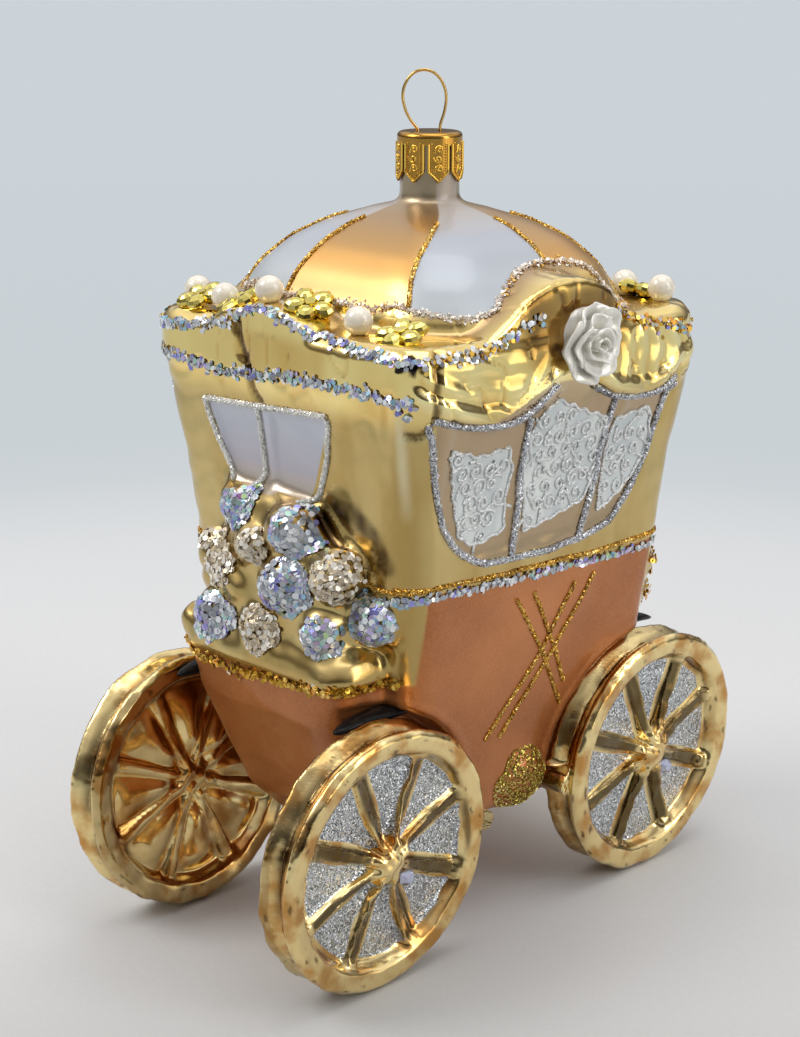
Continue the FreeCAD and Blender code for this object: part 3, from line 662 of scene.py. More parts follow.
def paintShell(shell):  # distances in millimetres, positive inside each painted zone
    names = ("copper", "sidePane", "sideField", "frontPane", "chip", "dome", "gore", "shadeAndStain", "foldShading",
             "pale")
    for name in names:
        shell.data.attributes.new(name, "FLOAT", "POINT")
    layers = {name: shell.data.attributes[name].data for name in names}
    for index, vertex in enumerate(shell.data.vertices):
        p, n = vertex.co / mm, vertex.normal
        flank = min(pathHeight(shellLook["waist"], p.y) - 0.6 - p.z, p.y - shellLook["copperFront"],
                    shellLook["copperBack"] - p.y, abs(p.x) - shellLook["copperSide"])
        onSides = abs(p.x) > 22 and abs(n.x) > 0.5 and 66 < p.z < 100
        onFace = p.y < -22 and n.y < -0.5 and 74 < p.z < 98
        values = {
            "copper": max(shellLook["tubTop"] - p.z, flank),
            "sidePane": paneReach(shellLook["sidePanes"], p.y, p.z) if onSides else -5.0,
            "sideField": ownReach(shellLook["sideField"], p.y, p.z) if onSides else -5.0,
            "frontPane": paneReach(shellLook["frontPanes"], p.x, p.z) if onFace else -5.0,
            "chip": 1.9 + 1.6 * ripple(p, 1.8, 15) - (p - Vector(shellLook["chip"])).length,
            "dome": domeReach(p), "gore": goreReach(p) if p.z > 106 else 0.0, "shadeAndStain": creaseShadeAt(p),
            "pale": highlightStreakAt(p),
            # the relief less the pediment shade, painted on the cornice as light and shade
            "foldShading": shellShift(p, n) - pedimentShadeAt(p, n),
        }
        for name, value in values.items():
            layers[name][index].value = value


def inMound(p):
    return p.y < -31.2 and 53 < p.z < 80 or p.y < -29 and abs(p.x) < 15 and 76.5 < p.z < 81.5


def inCrown(p):
    return domeReach(p) > 1.2 and p.z < 124


def makeShell():
    shell = openShell()
    remeshFine(shell, shellLook["voxel"], 5)
    for name, test, rounds in (("crown", inCrown, 40), ("mound", inMound, 22)):
        group = shell.vertex_groups.new(name=name)
        group.add([v.index for v in shell.data.vertices if test(v.co / mm)], 1.0, "REPLACE")
        addEase(shell, 0.6, rounds, name)
    applyAll(shell)
    paintShell(shell)
    normals = [vertex.normal.copy() for vertex in shell.data.vertices]
    for vertex, normal in zip(shell.data.vertices, normals):
        vertex.co += normal * shellShift(vertex.co / mm, normal) * mm
    addEase(shell, 0.5, 1)
    applyAll(shell)
    bpy.ops.object.shade_smooth()
    return shell


paintLook = {
    "upper": (0.093, 0.098), "fullHeight": 0.13,  # metres, where the cornice starts and the neck ends
    # the cornice takes its colour from its relief: painted shade in the hollows, painted highlight on the
    # crests
    "foldLightAndShade": [(0.0, srgb(0.52, 0.38, 0.17)), (0.25, srgb(0.86, 0.70, 0.38)),
                  (0.6, srgb(0.97, 0.86, 0.55)), (1.0, srgb(1.0, 0.93, 0.68))],
    "gilt": srgb(0.74, 0.62, 0.36), "giltCloud": srgb(0.86, 0.78, 0.54),
    "copper": [(0.0, srgb(0.64, 0.38, 0.20)), (1.0, srgb(0.78, 0.50, 0.29))],
    "copperGrain": srgb(0.86, 0.58, 0.34),
    # gores of the dome and the front panes, by height; the gold gores are lighter at their foot as a
    # painted highlight and browner above
    "silver": [(0.84, srgb(0.75, 0.78, 0.80)), (0.93, srgb(0.65, 0.67, 0.71)),
               (0.965, srgb(0.68, 0.63, 0.58))],
    "satin": [(0.84, srgb(0.94, 0.82, 0.58)), (0.90, srgb(0.82, 0.63, 0.36)),
              (0.95, srgb(0.70, 0.57, 0.40)), (0.965, srgb(0.68, 0.61, 0.50))],
    "frontPane": [(0.60, srgb(0.80, 0.72, 0.58)), (0.645, srgb(0.72, 0.70, 0.74)),
                  (0.70, srgb(0.75, 0.76, 0.80))],
    "roof": srgb(0.70, 0.58, 0.42), "sidePanel": srgb(0.66, 0.57, 0.48),
    "pearl": srgb(0.90, 0.92, 0.91), "pearlCloud": srgb(0.76, 0.79, 0.80),
    # the pale streak colour is a painted highlight; the dark crease colour is painted shade and a painted
    # dark reflection
    "pale": srgb(0.97, 0.94, 0.80), "shadeAndStain": srgb(0.27, 0.18, 0.07), "chip": (0.012, 0.006, 0.003),
    "roughness": {"cabin": 0.24, "cornice": 0.15, "copper": 0.42, "roof": 0.40, "sidePane": 0.45,
                  "frontPane": 0.28},
    "metallic": {"gilt": 1.0, "copper": 0.72, "sidePane": 0.15, "silver": 0.12, "frontPane": 0.6},
}


def coachPaint():  # gilt, copper tub, silver and gold dome, pearly panes
    look, rough, metallic = paintLook, paintLook["roughness"], paintLook["metallic"]
    material, tree, inputs = newMaterial("coachPaint", {"Coat Weight": 0.35, "Coat Roughness": 0.08})

    def edge(name, width=0.25, level=0.0):  # 1 inside the painted zone, 0 outside
        return rangeOf(tree, attribute(tree, name), level - width, level + width)

    place = splitXyz(tree, objectPlace(tree))["Z"]
    height = maths(tree, "DIVIDE", place, look["fullHeight"])
    cloud = placeGroup(tree, mottleGroup, Scale=110.0, Stretch=0.25, Low=0.35, High=0.68)["Mask"]
    gilt = mixColor(tree, maths(tree, "MULTIPLY", cloud, 0.5), look["gilt"], look["giltCloud"])
    # painted shade in the hollows and painted highlight on the crests of the cornice
    folds = ramp(tree, rangeOf(tree, attribute(tree, "foldShading"), -0.9, 0.7, "LINEAR"), look["foldLightAndShade"])
    upper = rangeOf(tree, place, *look["upper"])
    patches = placeGroup(tree, mottleGroup, Scale=45.0, Low=0.25, High=0.75)["Mask"]
    grain = placeGroup(tree, mottleGroup, Scale=2600.0, Low=0.3, High=0.7)["Mask"]
    copper = mixColor(tree, maths(tree, "MULTIPLY", grain, 0.25), ramp(tree, patches, look["copper"]),
                      look["copperGrain"])
    gore = edge("gore", 0.2)
    silver, satin = (ramp(tree, height, look[key]) for key in ("silver", "satin"))
    domeColor = mixColor(tree, gore, silver, satin)
    facing = splitXyz(tree, addNode(tree, "ShaderNodeNewGeometry").outputs["Normal"])["Z"]
    flat = ramp(tree, facing, [(0.45, (0, 0, 0)), (0.8, (1, 1, 1))])
    roof = maths(tree, "MULTIPLY", edge("dome", 3.0, -3.2), flat)  # the flat strip round the dome
    dome, panes, front, tub = edge("dome", 0.5), edge("sidePane"), edge("frontPane"), edge("copper", 0.3)
    color = mixColor(tree, upper, gilt, folds)
    for mask, layer in (
            (edge("copper", 0.35), copper), (roof, look["roof"]), (dome, domeColor),
            (maths(tree, "MULTIPLY", edge("sideField", 0.3), 0.75), look["sidePanel"]),
            (panes, mixColor(tree, cloud, look["pearl"], look["pearlCloud"])),
            # painted highlight streak, then painted shade in the creases and a painted dark reflection
            (front, ramp(tree, height, look["frontPane"])), (attribute(tree, "pale"), look["pale"]),
            (attribute(tree, "shadeAndStain"), look["shadeAndStain"]), (edge("chip", 0.3), look["chip"])):
        color = mixColor(tree, mask, color, layer)
    matt = mixValue(tree, upper, rough["cabin"], rough["cornice"])
    for mask, key in ((tub, "copper"), (maths(tree, "MAXIMUM", dome, roof), "roof"), (panes, "sidePane"),
                      (front, "frontPane")):
        matt = mixValue(tree, mask, matt, rough[key])
    metal = metallic["gilt"]
    silvered = maths(tree, "MULTIPLY", dome, maths(tree, "SUBTRACT", 1.0, gore))
    for mask, key in ((tub, "copper"), (panes, "sidePane"), (silvered, "silver"), (front, "frontPane")):
        metal = mixValue(tree, mask, metal, metallic[key])
    grit = addNode(tree, "ShaderNodeBump")
    for name, value in (("Distance", 0.00003), ("Strength", 0.35),
                        ("Height", maths(tree, "MULTIPLY", grain, tub))):
        feed(tree, grit.inputs[name], value)
    finish = {"Base Color": color, "Roughness": matt, "Metallic": metal, "Normal": grit.outputs[0]}
    for name, value in finish.items():
        feed(tree, inputs[name], value)
    return material


shell = makeShell()
finishPiece(shell, "coach_shell", "root", coachPaint(), ["glass_body"])
shellTree = BVHTree.FromObject(shell, bpy.context.evaluated_depsgraph_get())
print("stage: shell,", len(shell.data.polygons), "faces")


wheelLook = {
    "voxel": 0.42, "camber": 3.5, "track": 24.5, "rimInner": 17.9, "spokes": 8, "leafWide": 2.15,
    "channel": 1.0, "pillow": 1.3, "lump": 0.30, "groove": (20.6, 21.4), "pip": 22.4, "pipHigh": 2.6,
}


def wheelAxes(side):
    camber = math.radians(wheelLook["camber"])
    outward = Vector((side * math.cos(camber), 0, -math.sin(camber)))
    upward = Vector((side * math.sin(camber), 0, math.cos(camber)))
    return outward, upward


def leafHalf(radius):  # half width of a leaf-shaped spoke
    share = min(max((radius - 3) / 15, 0), 1)
    return wheelLook["leafWide"] * (0.55 + 0.45 * math.sin(math.pi * min(share * 1.25, 1) * 0.62))


def makeWheel(name, side, end, seed):
    wheel = copyNode(name, name + "_look")
    remeshFine(wheel, wheelLook["voxel"], 4)
    outward, upward = wheelAxes(side)
    centre = Vector((side * wheelLook["track"], end * hubY, hubZ))
    rim = wheelLook["rimInner"]
    for label in ("panel", "spoke", "shadeAndStain"):
        wheel.data.attributes.new(label, "FLOAT", "POINT")
    panel, spoke, shadeAndStain = (wheel.data.attributes[label].data for label in ("panel", "spoke", "shadeAndStain"))
    step = 2 * math.pi / wheelLook["spokes"]
    for index, vertex in enumerate(wheel.data.vertices):
        p = vertex.co / mm - centre
        along, up, out = p.y, p.dot(upward), p.dot(outward)
        radius = math.hypot(along, up)
        turn = math.atan2(up, along)
        away = (turn / step) % 1 - 0.5
        lane = 0.35 * noise.noise(Vector((round(turn / step - 0.5), seed, 3.3)))
        across = radius * math.sin(away * step) + lane * soft(radius, 3, 10)
        half = leafHalf(radius) * (1 + 0.22 * ripple(p, 5, seed))
        facing = 1 if out > 0 else -1
        web = soft(radius, 3.2, 4.6) * (1 - soft(radius, rim - 0.9, rim + 0.2))
        shiftOut = 0.0
        if facing > 0:  # channelled spokes outside
            groove = max(1 - (across / (half * 0.8)) ** 2, 0)
            shiftOut -= web * wheelLook["channel"] * groove * soft(out, 1.5, 2.1)
            lumps = 0.35 * ripple(p, 2.4, seed + 1) * soft(out, 1.6, 2.2)
            shiftOut += lumps * (1 - soft(radius, 17, 18.5))
        else:  # pillowed panels inside
            bulge = max(1 - (abs(abs(away) - 0.5) / 0.36) ** 2, 0) * within(radius, 6, 16.5, 2.2)
            shiftOut -= wheelLook["pillow"] * bulge * web
            shiftOut += 0.3 * ripple(p, 4, seed + 2)
        shiftOut += facing * (1 - soft(radius, 3.5, 6)) * 0.75 * ripple(p, 1.9, seed + 3)  # lumpy hub
        ragged = rim - 0.3 + 0.5 * ripple(p, 3, seed)
        panelEdge = min(abs(across) - half * 0.93, ragged - radius, radius - 4.4)
        panel[index].value = panelEdge if out > 0.4 else -3
        spoke[index].value = min(half - abs(across), rim + 0.4 - radius, radius - 4.0) if out > 0 else 0.0
        onRim = soft(radius, rim - 0.8, rim + 0.6)
        smearedShade = noise.noise(Vector((turn * 3.2, out * 0.8 + seed, radius * 0.5)))
        speck = noise.noise(Vector((turn * 9.0, out * 1.5 + seed, radius * 1.1)))
        inGroove = soft(radius, *wheelLook["groove"]) * (1 - soft(abs(out), 0.7, 1.5))
        slope = within(radius, rim - 0.4, rim + 0.9, 0.3) * soft(out, 1.2, 1.8)
        # painted shade in the tread groove and on the inner slope of the rim, broken into streaks; dark
        # specks as stains; a little darker on the face towards the body
        shadeAndStain[index].value = onRim * max(0.85 * inGroove * soft(smearedShade, -0.5, 0.25),
                                         0.75 * slope * soft(smearedShade, -0.25, 0.3),
                                         soft(speck, 0.42, 0.6) * 0.8, (out < -1.5) * 0.35)
        spread = wheelLook["lump"] * (ripple(p, 4.2, seed + 4) + 0.45 * ripple(p, 2.1, seed + 5))
        spread -= 0.9 * inGroove
        if out < 1.5:  # the sealed tip of the glass, at the side of the rim
            fromPip = math.hypot(along + end * wheelLook["pip"], up)
            spread += wheelLook["pipHigh"] * (1 - soft(fromPip, 1.2, 3.4))
        radial = (upward * up + Vector((0, along, 0))).normalized()
        move = outward * (shiftOut + onRim * 0.6 * spread * facing) + radial * onRim * spread * 0.8
        vertex.co += move * mm
    bpy.ops.object.shade_smooth()
    return wheel


def wheelPaint():
    material, tree, inputs = newMaterial("wheelPaint", {"Metallic": 1.0, "Coat Weight": 0.3})
    panel = rangeOf(tree, attribute(tree, "panel"), -0.12, 0.12)
    groove = rangeOf(tree, attribute(tree, "spoke"), 0.2, 1.3)
    cloud = placeGroup(tree, mottleGroup, Scale=170.0, Low=0.42, High=0.66)["Mask"]
    gold = mixColor(tree, cloud, srgb(0.97, 0.87, 0.62), srgb(0.80, 0.60, 0.32))
    # painted shade darkens the spoke channels
    gold = mixColor(tree, maths(tree, "MULTIPLY", groove, 0.9), gold, srgb(0.30, 0.23, 0.09))
    # painted shade in the groove and on the inner slope, together with the specks of stain
    gold = mixColor(tree, attribute(tree, "shadeAndStain"), gold, srgb(0.32, 0.22, 0.09))
    flakes = placeGroup(tree, sparkleGroup, Scale=5200.0, Tilt=1.1)
    silver = ramp(tree, flakes["Shade"], [(0.0, srgb(0.20, 0.20, 0.19)), (0.12, srgb(0.58, 0.60, 0.62)),
                                          (0.6, srgb(0.78, 0.81, 0.84)), (1.0, srgb(1.0, 1.0, 1.0))])
    feed(tree, inputs["Base Color"], mixColor(tree, panel, gold, silver))
    feed(tree, inputs["Roughness"], mixValue(tree, panel, 0.19, 0.38))
    blend = addNode(tree, "ShaderNodeMix", data_type="VECTOR")
    facing = addNode(tree, "ShaderNodeNewGeometry").outputs["Normal"]
    for index, value in ((0, panel), (4, facing), (5, flakes["Normal"])):
        feed(tree, blend.inputs[index], value)
    feed(tree, inputs["Normal"], blend.outputs[1])
    return material


wheelMaterial = wheelPaint()
for seed, (corner, side, end) in enumerate(corners, 21):
    name = corner + "_wheel"
    finishPiece(makeWheel(name, side, end, seed), name + "_look", "root", wheelMaterial, [name])
print("stage: wheels")


glueLook = {
    "across": 19.8, "half": 2.0, "thick": 1.25,
    # each arc of glue: its middle (y, z), its radius, and in degrees its middle and half its span
    "front": (-30, -14.8, 60, 90, 9), "rear": (34.6, 23.3, 23.55, 112, 42),
}


def makeGlue(side, end, seed):  # a lens of glue bent round the arch
    y, z, radius, middle, half = glueLook["front"] if end < 0 else glueLook["rear"]
    bpy.ops.mesh.primitive_uv_sphere_add(segments=40, ring_count=24, radius=1)
    blob = bpy.context.object
    for vertex in blob.data.vertices:
        angle = math.radians(middle - vertex.co.y * half)
        reach = radius + glueLook["thick"] * vertex.co.z + 0.1 * ripple(vertex.co * 9, 2.2, seed)
        x = side * (glueLook["across"] + glueLook["half"] * vertex.co.x)
        vertex.co = Vector((x, y + math.cos(angle) * reach, z + math.sin(angle) * reach)) * mm
    bpy.ops.object.shade_smooth()
    return blob


glueBlack, glueTree, glueInputs = newMaterial("glueBlack", {"Roughness": 0.12, "Specular IOR Level": 0.1})
glueCloud = placeGroup(glueTree, mottleGroup, Scale=400.0, Low=0.4, High=0.7)["Mask"]
glueColor = mixColor(glueTree, glueCloud, (0.008, 0.008, 0.009), (0.02, 0.018, 0.016))
feed(glueTree, glueInputs["Base Color"], glueColor)
for seed, (corner, side, end) in enumerate(corners, 41):
    glue = makeGlue(side, end, seed)
    finishPiece(glue, corner + "_glue_lens", "root", glueBlack, [corner + "_glue"])
print("stage: glue")


def alongLine(points, step):  # even steps along given corners
    spots = []
    for (a1, b1), (a2, b2) in zip(points, points[1:]):
        count = max(int(math.hypot(a2 - a1, b2 - b1) / step), 1)
        spots += [(a1 + (a2 - a1) * i / count, b1 + (b2 - b1) * i / count) for i in range(count)]
    return spots + [points[-1]]


def smoothPath(points, step=0.25, rounds=30):  # the same, eased round the corners
    path = alongLine(points, step)
    for _ in range(rounds):
        path = [path[0]] + [((p[0] + 2 * q[0] + r[0]) / 4, (p[1] + 2 * q[1] + r[1]) / 4)
                            for p, q, r in zip(path, path[1:], path[2:])] + [path[-1]]
    return path


def castShell(origin, direction):
    place, normal, _, _ = shellTree.ray_cast(Vector(origin) * mm, Vector(direction).normalized())
    return (place / mm, normal) if place is not None else None


def onSide(side, y, z):
    hit = castShell((side * 60, y, z), (-side, 0, 0))
    return hit if hit and hit[0].x * side > 14 else None


def onFront(x, z, limit=-21):  # steps down where the ray would pass over the edge
    for drop in range(12):
        hit = castShell((x, -80, z - drop * 0.4), (0, 1, 0))
        if hit and hit[0].y < limit:
            return hit
    return None


def onBack(x, z):
    hit = castShell((x, 80, z), (0, -1, 0))
    return hit if hit and hit[0].y > 25 else None


def onDome(azimuth, elevation):
    direction = Vector((math.cos(azimuth) * math.cos(elevation), math.sin(azimuth) * math.cos(elevation),
                        math.sin(elevation)))
    return castShell(Vector((0, neckY, 97)) + direction * 90, -direction)


def seamHit(seam, elevation):
    hit = onDome(math.radians(seam[0]), elevation)
    hit = onDome(math.radians(seamTurn(seam, hit[0].z)), elevation) if hit else None
    return hit if hit and hit[0].z < shellLook["neckFoot"] else None  # the rim of the neck stays bare


def fromAbove(x, y):
    return castShell((x, y, 124), (0, 0, -1))


def kept(hits):
    return [hit for hit in hits if hit]


def traceSide(side, points, rounds=30):
    return kept(onSide(side, y, z) for y, z in smoothPath(points, rounds=rounds))


def traceFront(points, rounds=30, limit=-21):
    return kept(onFront(x, z, limit) for x, z in smoothPath(points, rounds=rounds))


def makeGrain(name, corners, radius, depth):
    bpy.ops.mesh.primitive_cylinder_add(vertices=corners, radius=radius * mm, depth=depth * mm)
    grain = bpy.context.object
    grain.name = name
    return grain


def scatterGroup(grain):  # one grain on each point, turned and sized by the point's own values
    group = bpy.data.node_groups.new("scatter_" + grain.name, "GeometryNodeTree")
    for direction in ("INPUT", "OUTPUT"):
        group.interface.new_socket("Geometry", in_out=direction, socket_type="NodeSocketGeometry")
    points = addNode(group, "NodeGroupInput").outputs[0]
    info = addNode(group, "GeometryNodeObjectInfo")
    info.inputs["Object"].default_value = grain
    info.inputs["As Instance"].default_value = True

    def own(label, kind):
        node = addNode(group, "GeometryNodeInputNamedAttribute", data_type=kind)
        node.inputs["Name"].default_value = label
        return node.outputs["Attribute"]

    rotate = addNode(group, "FunctionNodeEulerToRotation")
    feed(group, rotate.inputs[0], own("turn", "FLOAT_VECTOR"))
    spots = addNode(group, "GeometryNodeInstanceOnPoints")
    for name, value in (("Points", points), ("Instance", info.outputs["Geometry"]),
                        ("Rotation", rotate.outputs[0]), ("Scale", own("size", "FLOAT"))):
        feed(group, spots.inputs[name], value)
    real = addNode(group, "GeometryNodeRealizeInstances")
    feed(group, real.inputs[0], spots.outputs[0])
    feed(group, addNode(group, "NodeGroupOutput").inputs[0], real.outputs[0])
    return group


def scatter(name, grain, spots, material):  # spots hold place in mm, turn, size and tint
    mesh = bpy.data.meshes.new(name)
    mesh.from_pydata([spot[0] * mm for spot in spots], [], [])
    obj = bpy.data.objects.new(name, mesh)
    bpy.context.scene.collection.objects.link(obj)
    for label, kind in (("turn", "FLOAT_VECTOR"), ("size", "FLOAT"), ("tint", "FLOAT")):
        mesh.attributes.new(label, kind, "POINT")
    for index, (_, turn, size, tint) in enumerate(spots):
        mesh.attributes["turn"].data[index].vector = turn
        mesh.attributes["size"].data[index].value = size
        mesh.attributes["tint"].data[index].value = tint
    spread = obj.modifiers.new("scatter", "NODES")
    spread.node_group = scatterGroup(grain)
    applyAll(obj)
    return finishPiece(obj, name, "root", material)


def spotAt(place, normal, tilt, lift, low=0.85, high=1.1):  # a grain lying on the glass, tilted by chance
    facing = normal.to_track_quat("Z", "Y")
    wobble = Euler((random.gauss(0, tilt * 0.5), random.gauss(0, tilt * 0.5), random.uniform(0, 6.28)))
    turn = (facing @ wobble.to_quaternion()).to_euler()
    tint = 0.55 * random.random() + 0.45 * min(max(0.5 + 1.1 * ripple(place, 7, 31), 0), 1)
    return (place + normal * lift, turn, random.uniform(low, high), min(tint, 0.999))


def sprinkleLine(hits, perMm, spread, tilt, low=0.85, high=1.1, pile=0.5):
    spots = []
    for (here, normal), (there, _) in zip(hits, hits[1:]):
        gap = (there - here).length
        if gap > 3:
            continue
        across = (there - here).cross(normal).normalized() if gap > 0.001 else Vector((0, 0, 1))
        wanted = gap * perMm
        count = int(wanted) + (random.random() < wanted % 1)
        for _ in range(count):
            off = random.gauss(0, 0.45) * spread
            place = here.lerp(there, random.random()) + across * off
            found, normalThere, _, _ = shellTree.find_nearest(place * mm)
            lift = 0.12 + random.random() * pile * max(1 - abs(off) / max(spread, 0.01), 0)
            spots.append(spotAt(found / mm, normalThere, tilt, lift, low, high))
    return spots


def sprinkleDisc(centre, outwards, radius, count, tilt, pile=0.9, low=0.85, high=1.1):
    spots = []
    facing = Vector(outwards).normalized()
    turn = facing.to_track_quat("Z", "Y")
    for _ in range(count):
        reach = radius * math.sqrt(random.random())
        angle = random.uniform(0, 6.283)
        edge = radius * (1 + 0.2 * math.sin(3 * angle + centre[0]))
        off = turn @ Vector((math.cos(angle), math.sin(angle), 0)) * min(reach, edge)
        hit = castShell(Vector(centre) + off + facing * 12, -facing)
        if hit and (hit[0] - Vector(centre)).length < radius * 1.25:
            lift = 0.12 + random.random() * pile * (1 - (reach / radius) ** 2 * 0.7)
            spots.append(spotAt(hit[0], hit[1], tilt, lift, low, high))
    return spots


def grainPaint(name, stops, roughness, metallic, interpolation="CONSTANT"):
    material, tree, inputs = newMaterial(name, {"Roughness": roughness, "Metallic": metallic})
    feed(tree, inputs["Base Color"], ramp(tree, attribute(tree, "tint"), stops, interpolation))
    return material


sequinLook = {  # lines as (x, z) across the front and back, (y, z) along the sides
    "frontUpper": [(-30, 104.5), (-26.5, 105), (-17.5, 106), (-11, 107.5), (-7, 110), (-3, 110.5),
                   (7, 108), (17.5, 106.5), (25, 106), (30.5, 105.5)],
    "frontLower": [(-30, 100), (-26, 100), (-13.5, 98.5), (-3, 99.5), (6.5, 100), (16.5, 100),
                   (24.5, 99.5), (29.5, 99)],
    "sideFront": [(-31.5, 105.5), (-26.5, 106), (-22, 105.5), (-15, 106.5), (-9, 109), (-4, 109.5)],
    "sideRear": [(14, 108.5), (20.5, 106.5), (27, 105), (34, 103)],
    "rearUpper": [(-30, 103.5), (-14, 105.5), (0, 106.2), (14, 105.5), (30, 103.5)],
    "waistSequins": [(-31, 66), (-22, 66), (-8.5, 65), (6.5, 64.5), (17.5, 64), (34, 64)],
    "waistGlitter": [(-31, 67.5), (-22, 67.5), (-9, 66.5), (6.5, 66), (17, 65.5), (35, 66)],
    "ledgeFront": [(-20.6, 50.6), (-15.2, 49.4), (-4.7, 49.3), (5.4, 49.8), (12.8, 50.2), (20.4, 50.8)],
    "ledgeSide": [(-38.4, 51), (-32, 50.6), (-27, 50.6)],
    "waistCorner": [(20.5, 65), (24.5, 65.3), (27.5, 65.8)],
    "glitterCorner": [(19, 66.7), (24, 67), (27.5, 67.4)],
    "browLimit": -30, "nearCorner": (29.2, 98.6), "rolls": ((25.2, 36, 59.5), (25, 37, 52.8)),
}

rainbowStops = [
    (0.0, srgb(0.88, 0.90, 0.92)), (0.20, srgb(0.74, 0.76, 0.79)), (0.36, srgb(0.95, 0.96, 0.97)),
    (0.46, srgb(0.66, 0.68, 0.71)), (0.57, srgb(0.60, 0.60, 0.88)), (0.63, srgb(0.62, 0.78, 0.86)),
    (0.68, srgb(0.68, 0.82, 0.76)), (0.74, srgb(0.78, 0.72, 0.88)), (0.82, srgb(0.84, 0.87, 0.88)),
    (0.90, srgb(0.74, 0.84, 0.62)), (0.95, srgb(0.70, 0.46, 0.72))]
champagneStops = [
    (0.0, srgb(0.84, 0.80, 0.72)), (0.3, srgb(0.95, 0.93, 0.89)), (0.5, srgb(0.74, 0.68, 0.58)),
    (0.72, srgb(0.89, 0.83, 0.70)), (0.88, srgb(0.98, 0.98, 0.97))]
goldPlateStops = [
    (0.0, srgb(0.86, 0.68, 0.26)), (0.4, srgb(0.76, 0.60, 0.20)), (0.62, srgb(0.95, 0.80, 0.42)),
    (0.78, srgb(0.90, 0.64, 0.30)), (0.88, srgb(0.95, 0.94, 0.88))]


def makeSequins():
    look = sequinLook
    bright, pale, gold = [], [], []
    bright += sprinkleLine(traceFront(look["frontUpper"], limit=look["browLimit"]), 5.0, 1.25, 0.5)
    bright += sprinkleLine(traceFront(look["frontLower"]), 5.0, 1.2, 0.5)
    bright += sprinkleDisc(onFront(*look["nearCorner"])[0], (0.6, -0.8, 0), 2.0, 20, 0.4)
    for side in (1, -1):
        for heap, key, perMm, spread, tilt in (
                (bright, "sideFront", 3.0, 1.3, 0.5), (gold, "sideFront", 1.2, 1.4, 0.5),
                (gold, "sideRear", 4.0, 1.5, 0.6), (bright, "sideRear", 1.6, 1.4, 0.5),
                (bright, "waistSequins", 3.4, 0.75, 0.45)):
            heap += sprinkleLine(traceSide(side, look[key]), perMm, spread, tilt)
        corner = [(side * x, z) for x, z in look["waistCorner"]]
        bright += sprinkleLine(traceFront(corner, 10), 3.4, 0.75, 0.45)
        gold += sprinkleLine(traceSide(side, look["ledgeSide"]), 5.5, 1.1, 0.8)
    gold += sprinkleLine(kept(onBack(x, z) for x, z in smoothPath(look["rearUpper"])), 4.0, 1.5, 0.6)
    gold += sprinkleLine(traceFront(look["ledgeFront"]), 5.5, 1.2, 0.8)
    for side in (1, -1):
        for x, y, z in look["rolls"]:
            gold += sprinkleDisc((side * x, y, z), (side * 0.75, 0.65, 0.1), 2.7, 34, 0.7)
    for x, y, z, radius, *outwards in shellLook["heads"]:
        bright += sprinkleDisc((x, y, z), outwards, radius, int(17 * radius ** 2), 0.32, 0.55, 1.05, 1.35)
    for x, y, z, radius, *outwards in shellLook["paleHeads"]:
        pale += sprinkleDisc((x, y, z), outwards, radius, int(16 * radius ** 2), 0.5, 0.7, 0.9, 1.25)
    hexPlate = makeGrain("hex_plate", 6, 0.48, 0.05)
    scatter("rainbow_sequins", hexPlate, bright, grainPaint("rainbowSequin", rainbowStops, 0.22, 0.5))
    scatter("champagne_sequins", hexPlate, pale, grainPaint("paleSequin", champagneStops, 0.22, 0.25))
    scatter("gold_sequins", hexPlate, gold, grainPaint("goldSequin", goldPlateStops, 0.2, 0.75))
    bpy.data.objects.remove(hexPlate)
    return len(bright) + len(pale) + len(gold)


print("stage: sequins,", makeSequins())

glitterLook = {
    "boss": (22, 3.5, 25.2, 6.3), "bossCrumbs": 1500,
    "hemFront": [(-29, 96.5), (-26, 95.5), (-19.5, 94), (-12.5, 93.5), (-8, 94.5), (-4.5, 96.5),
                 (-1.5, 98.5)],
    "hemRear": [(9.5, 96.5), (14.5, 94), (22, 93), (26, 93.5), (30, 95.5)],
    "frame": [(-29.5, 96), (-28, 90), (-26, 83), (-23.5, 77.5), (-20, 73), (-14, 69.5), (-7, 69),
              (2, 68.5), (11.5, 69), (19, 70.5), (24, 75.5), (27.5, 82), (29, 89), (30, 94.5)],
    "dividers": [[(-6, 93.5), (-6, 88), (-5.5, 79), (-6.5, 69.5)],
                 [(15.5, 93.5), (14.5, 88), (14, 80.5), (12, 74), (10.5, 69)]],
    "frontLines": [[(-19, 93), (-8.5, 93.5), (11.5, 94.5)],
                   [(-19, 93), (-17.5, 88.5), (-14.3, 82.5), (-12.8, 79.5)],
                   [(-5.5, 93.5), (-5.4, 84), (-5.5, 81.5), (-7.5, 79.5)],
                   [(11.5, 94), (10.6, 87), (8.2, 81), (6.8, 79.4), (4.8, 79)]],
    "cross": [[(-3.8, 61), (5, 48.9), (11.8, 37.6)], [(0.5, 61.3), (8, 49.2), (11.8, 42.0)],
              [(11.3, 61), (3.6, 48.6), (-7.3, 35.6)], [(16.4, 61.6), (7.2, 48.9), (-3.5, 35.1)]],
}


def glitterRun(hits, perMm, radius):  # crumbs over a low round bead of glue
    spots = []
    for (here, normal), (there, _) in zip(hits, hits[1:]):
        gap = (there - here).length
        if gap > 2.5 or gap < 0.001:
            continue
        across = (there - here).cross(normal).normalized()
        wanted = gap * perMm
        for _ in range(int(wanted) + (random.random() < wanted % 1)):
            angle = random.uniform(-1.75, 1.75)
            facing = (normal * math.cos(angle) + across * math.sin(angle)).normalized()
            place = here.lerp(there, random.random()) + facing * radius * random.uniform(0.85, 1.12)
            spots.append(spotAt(place, facing, 0.8, 0, 0.7, 1.25))
    return spots


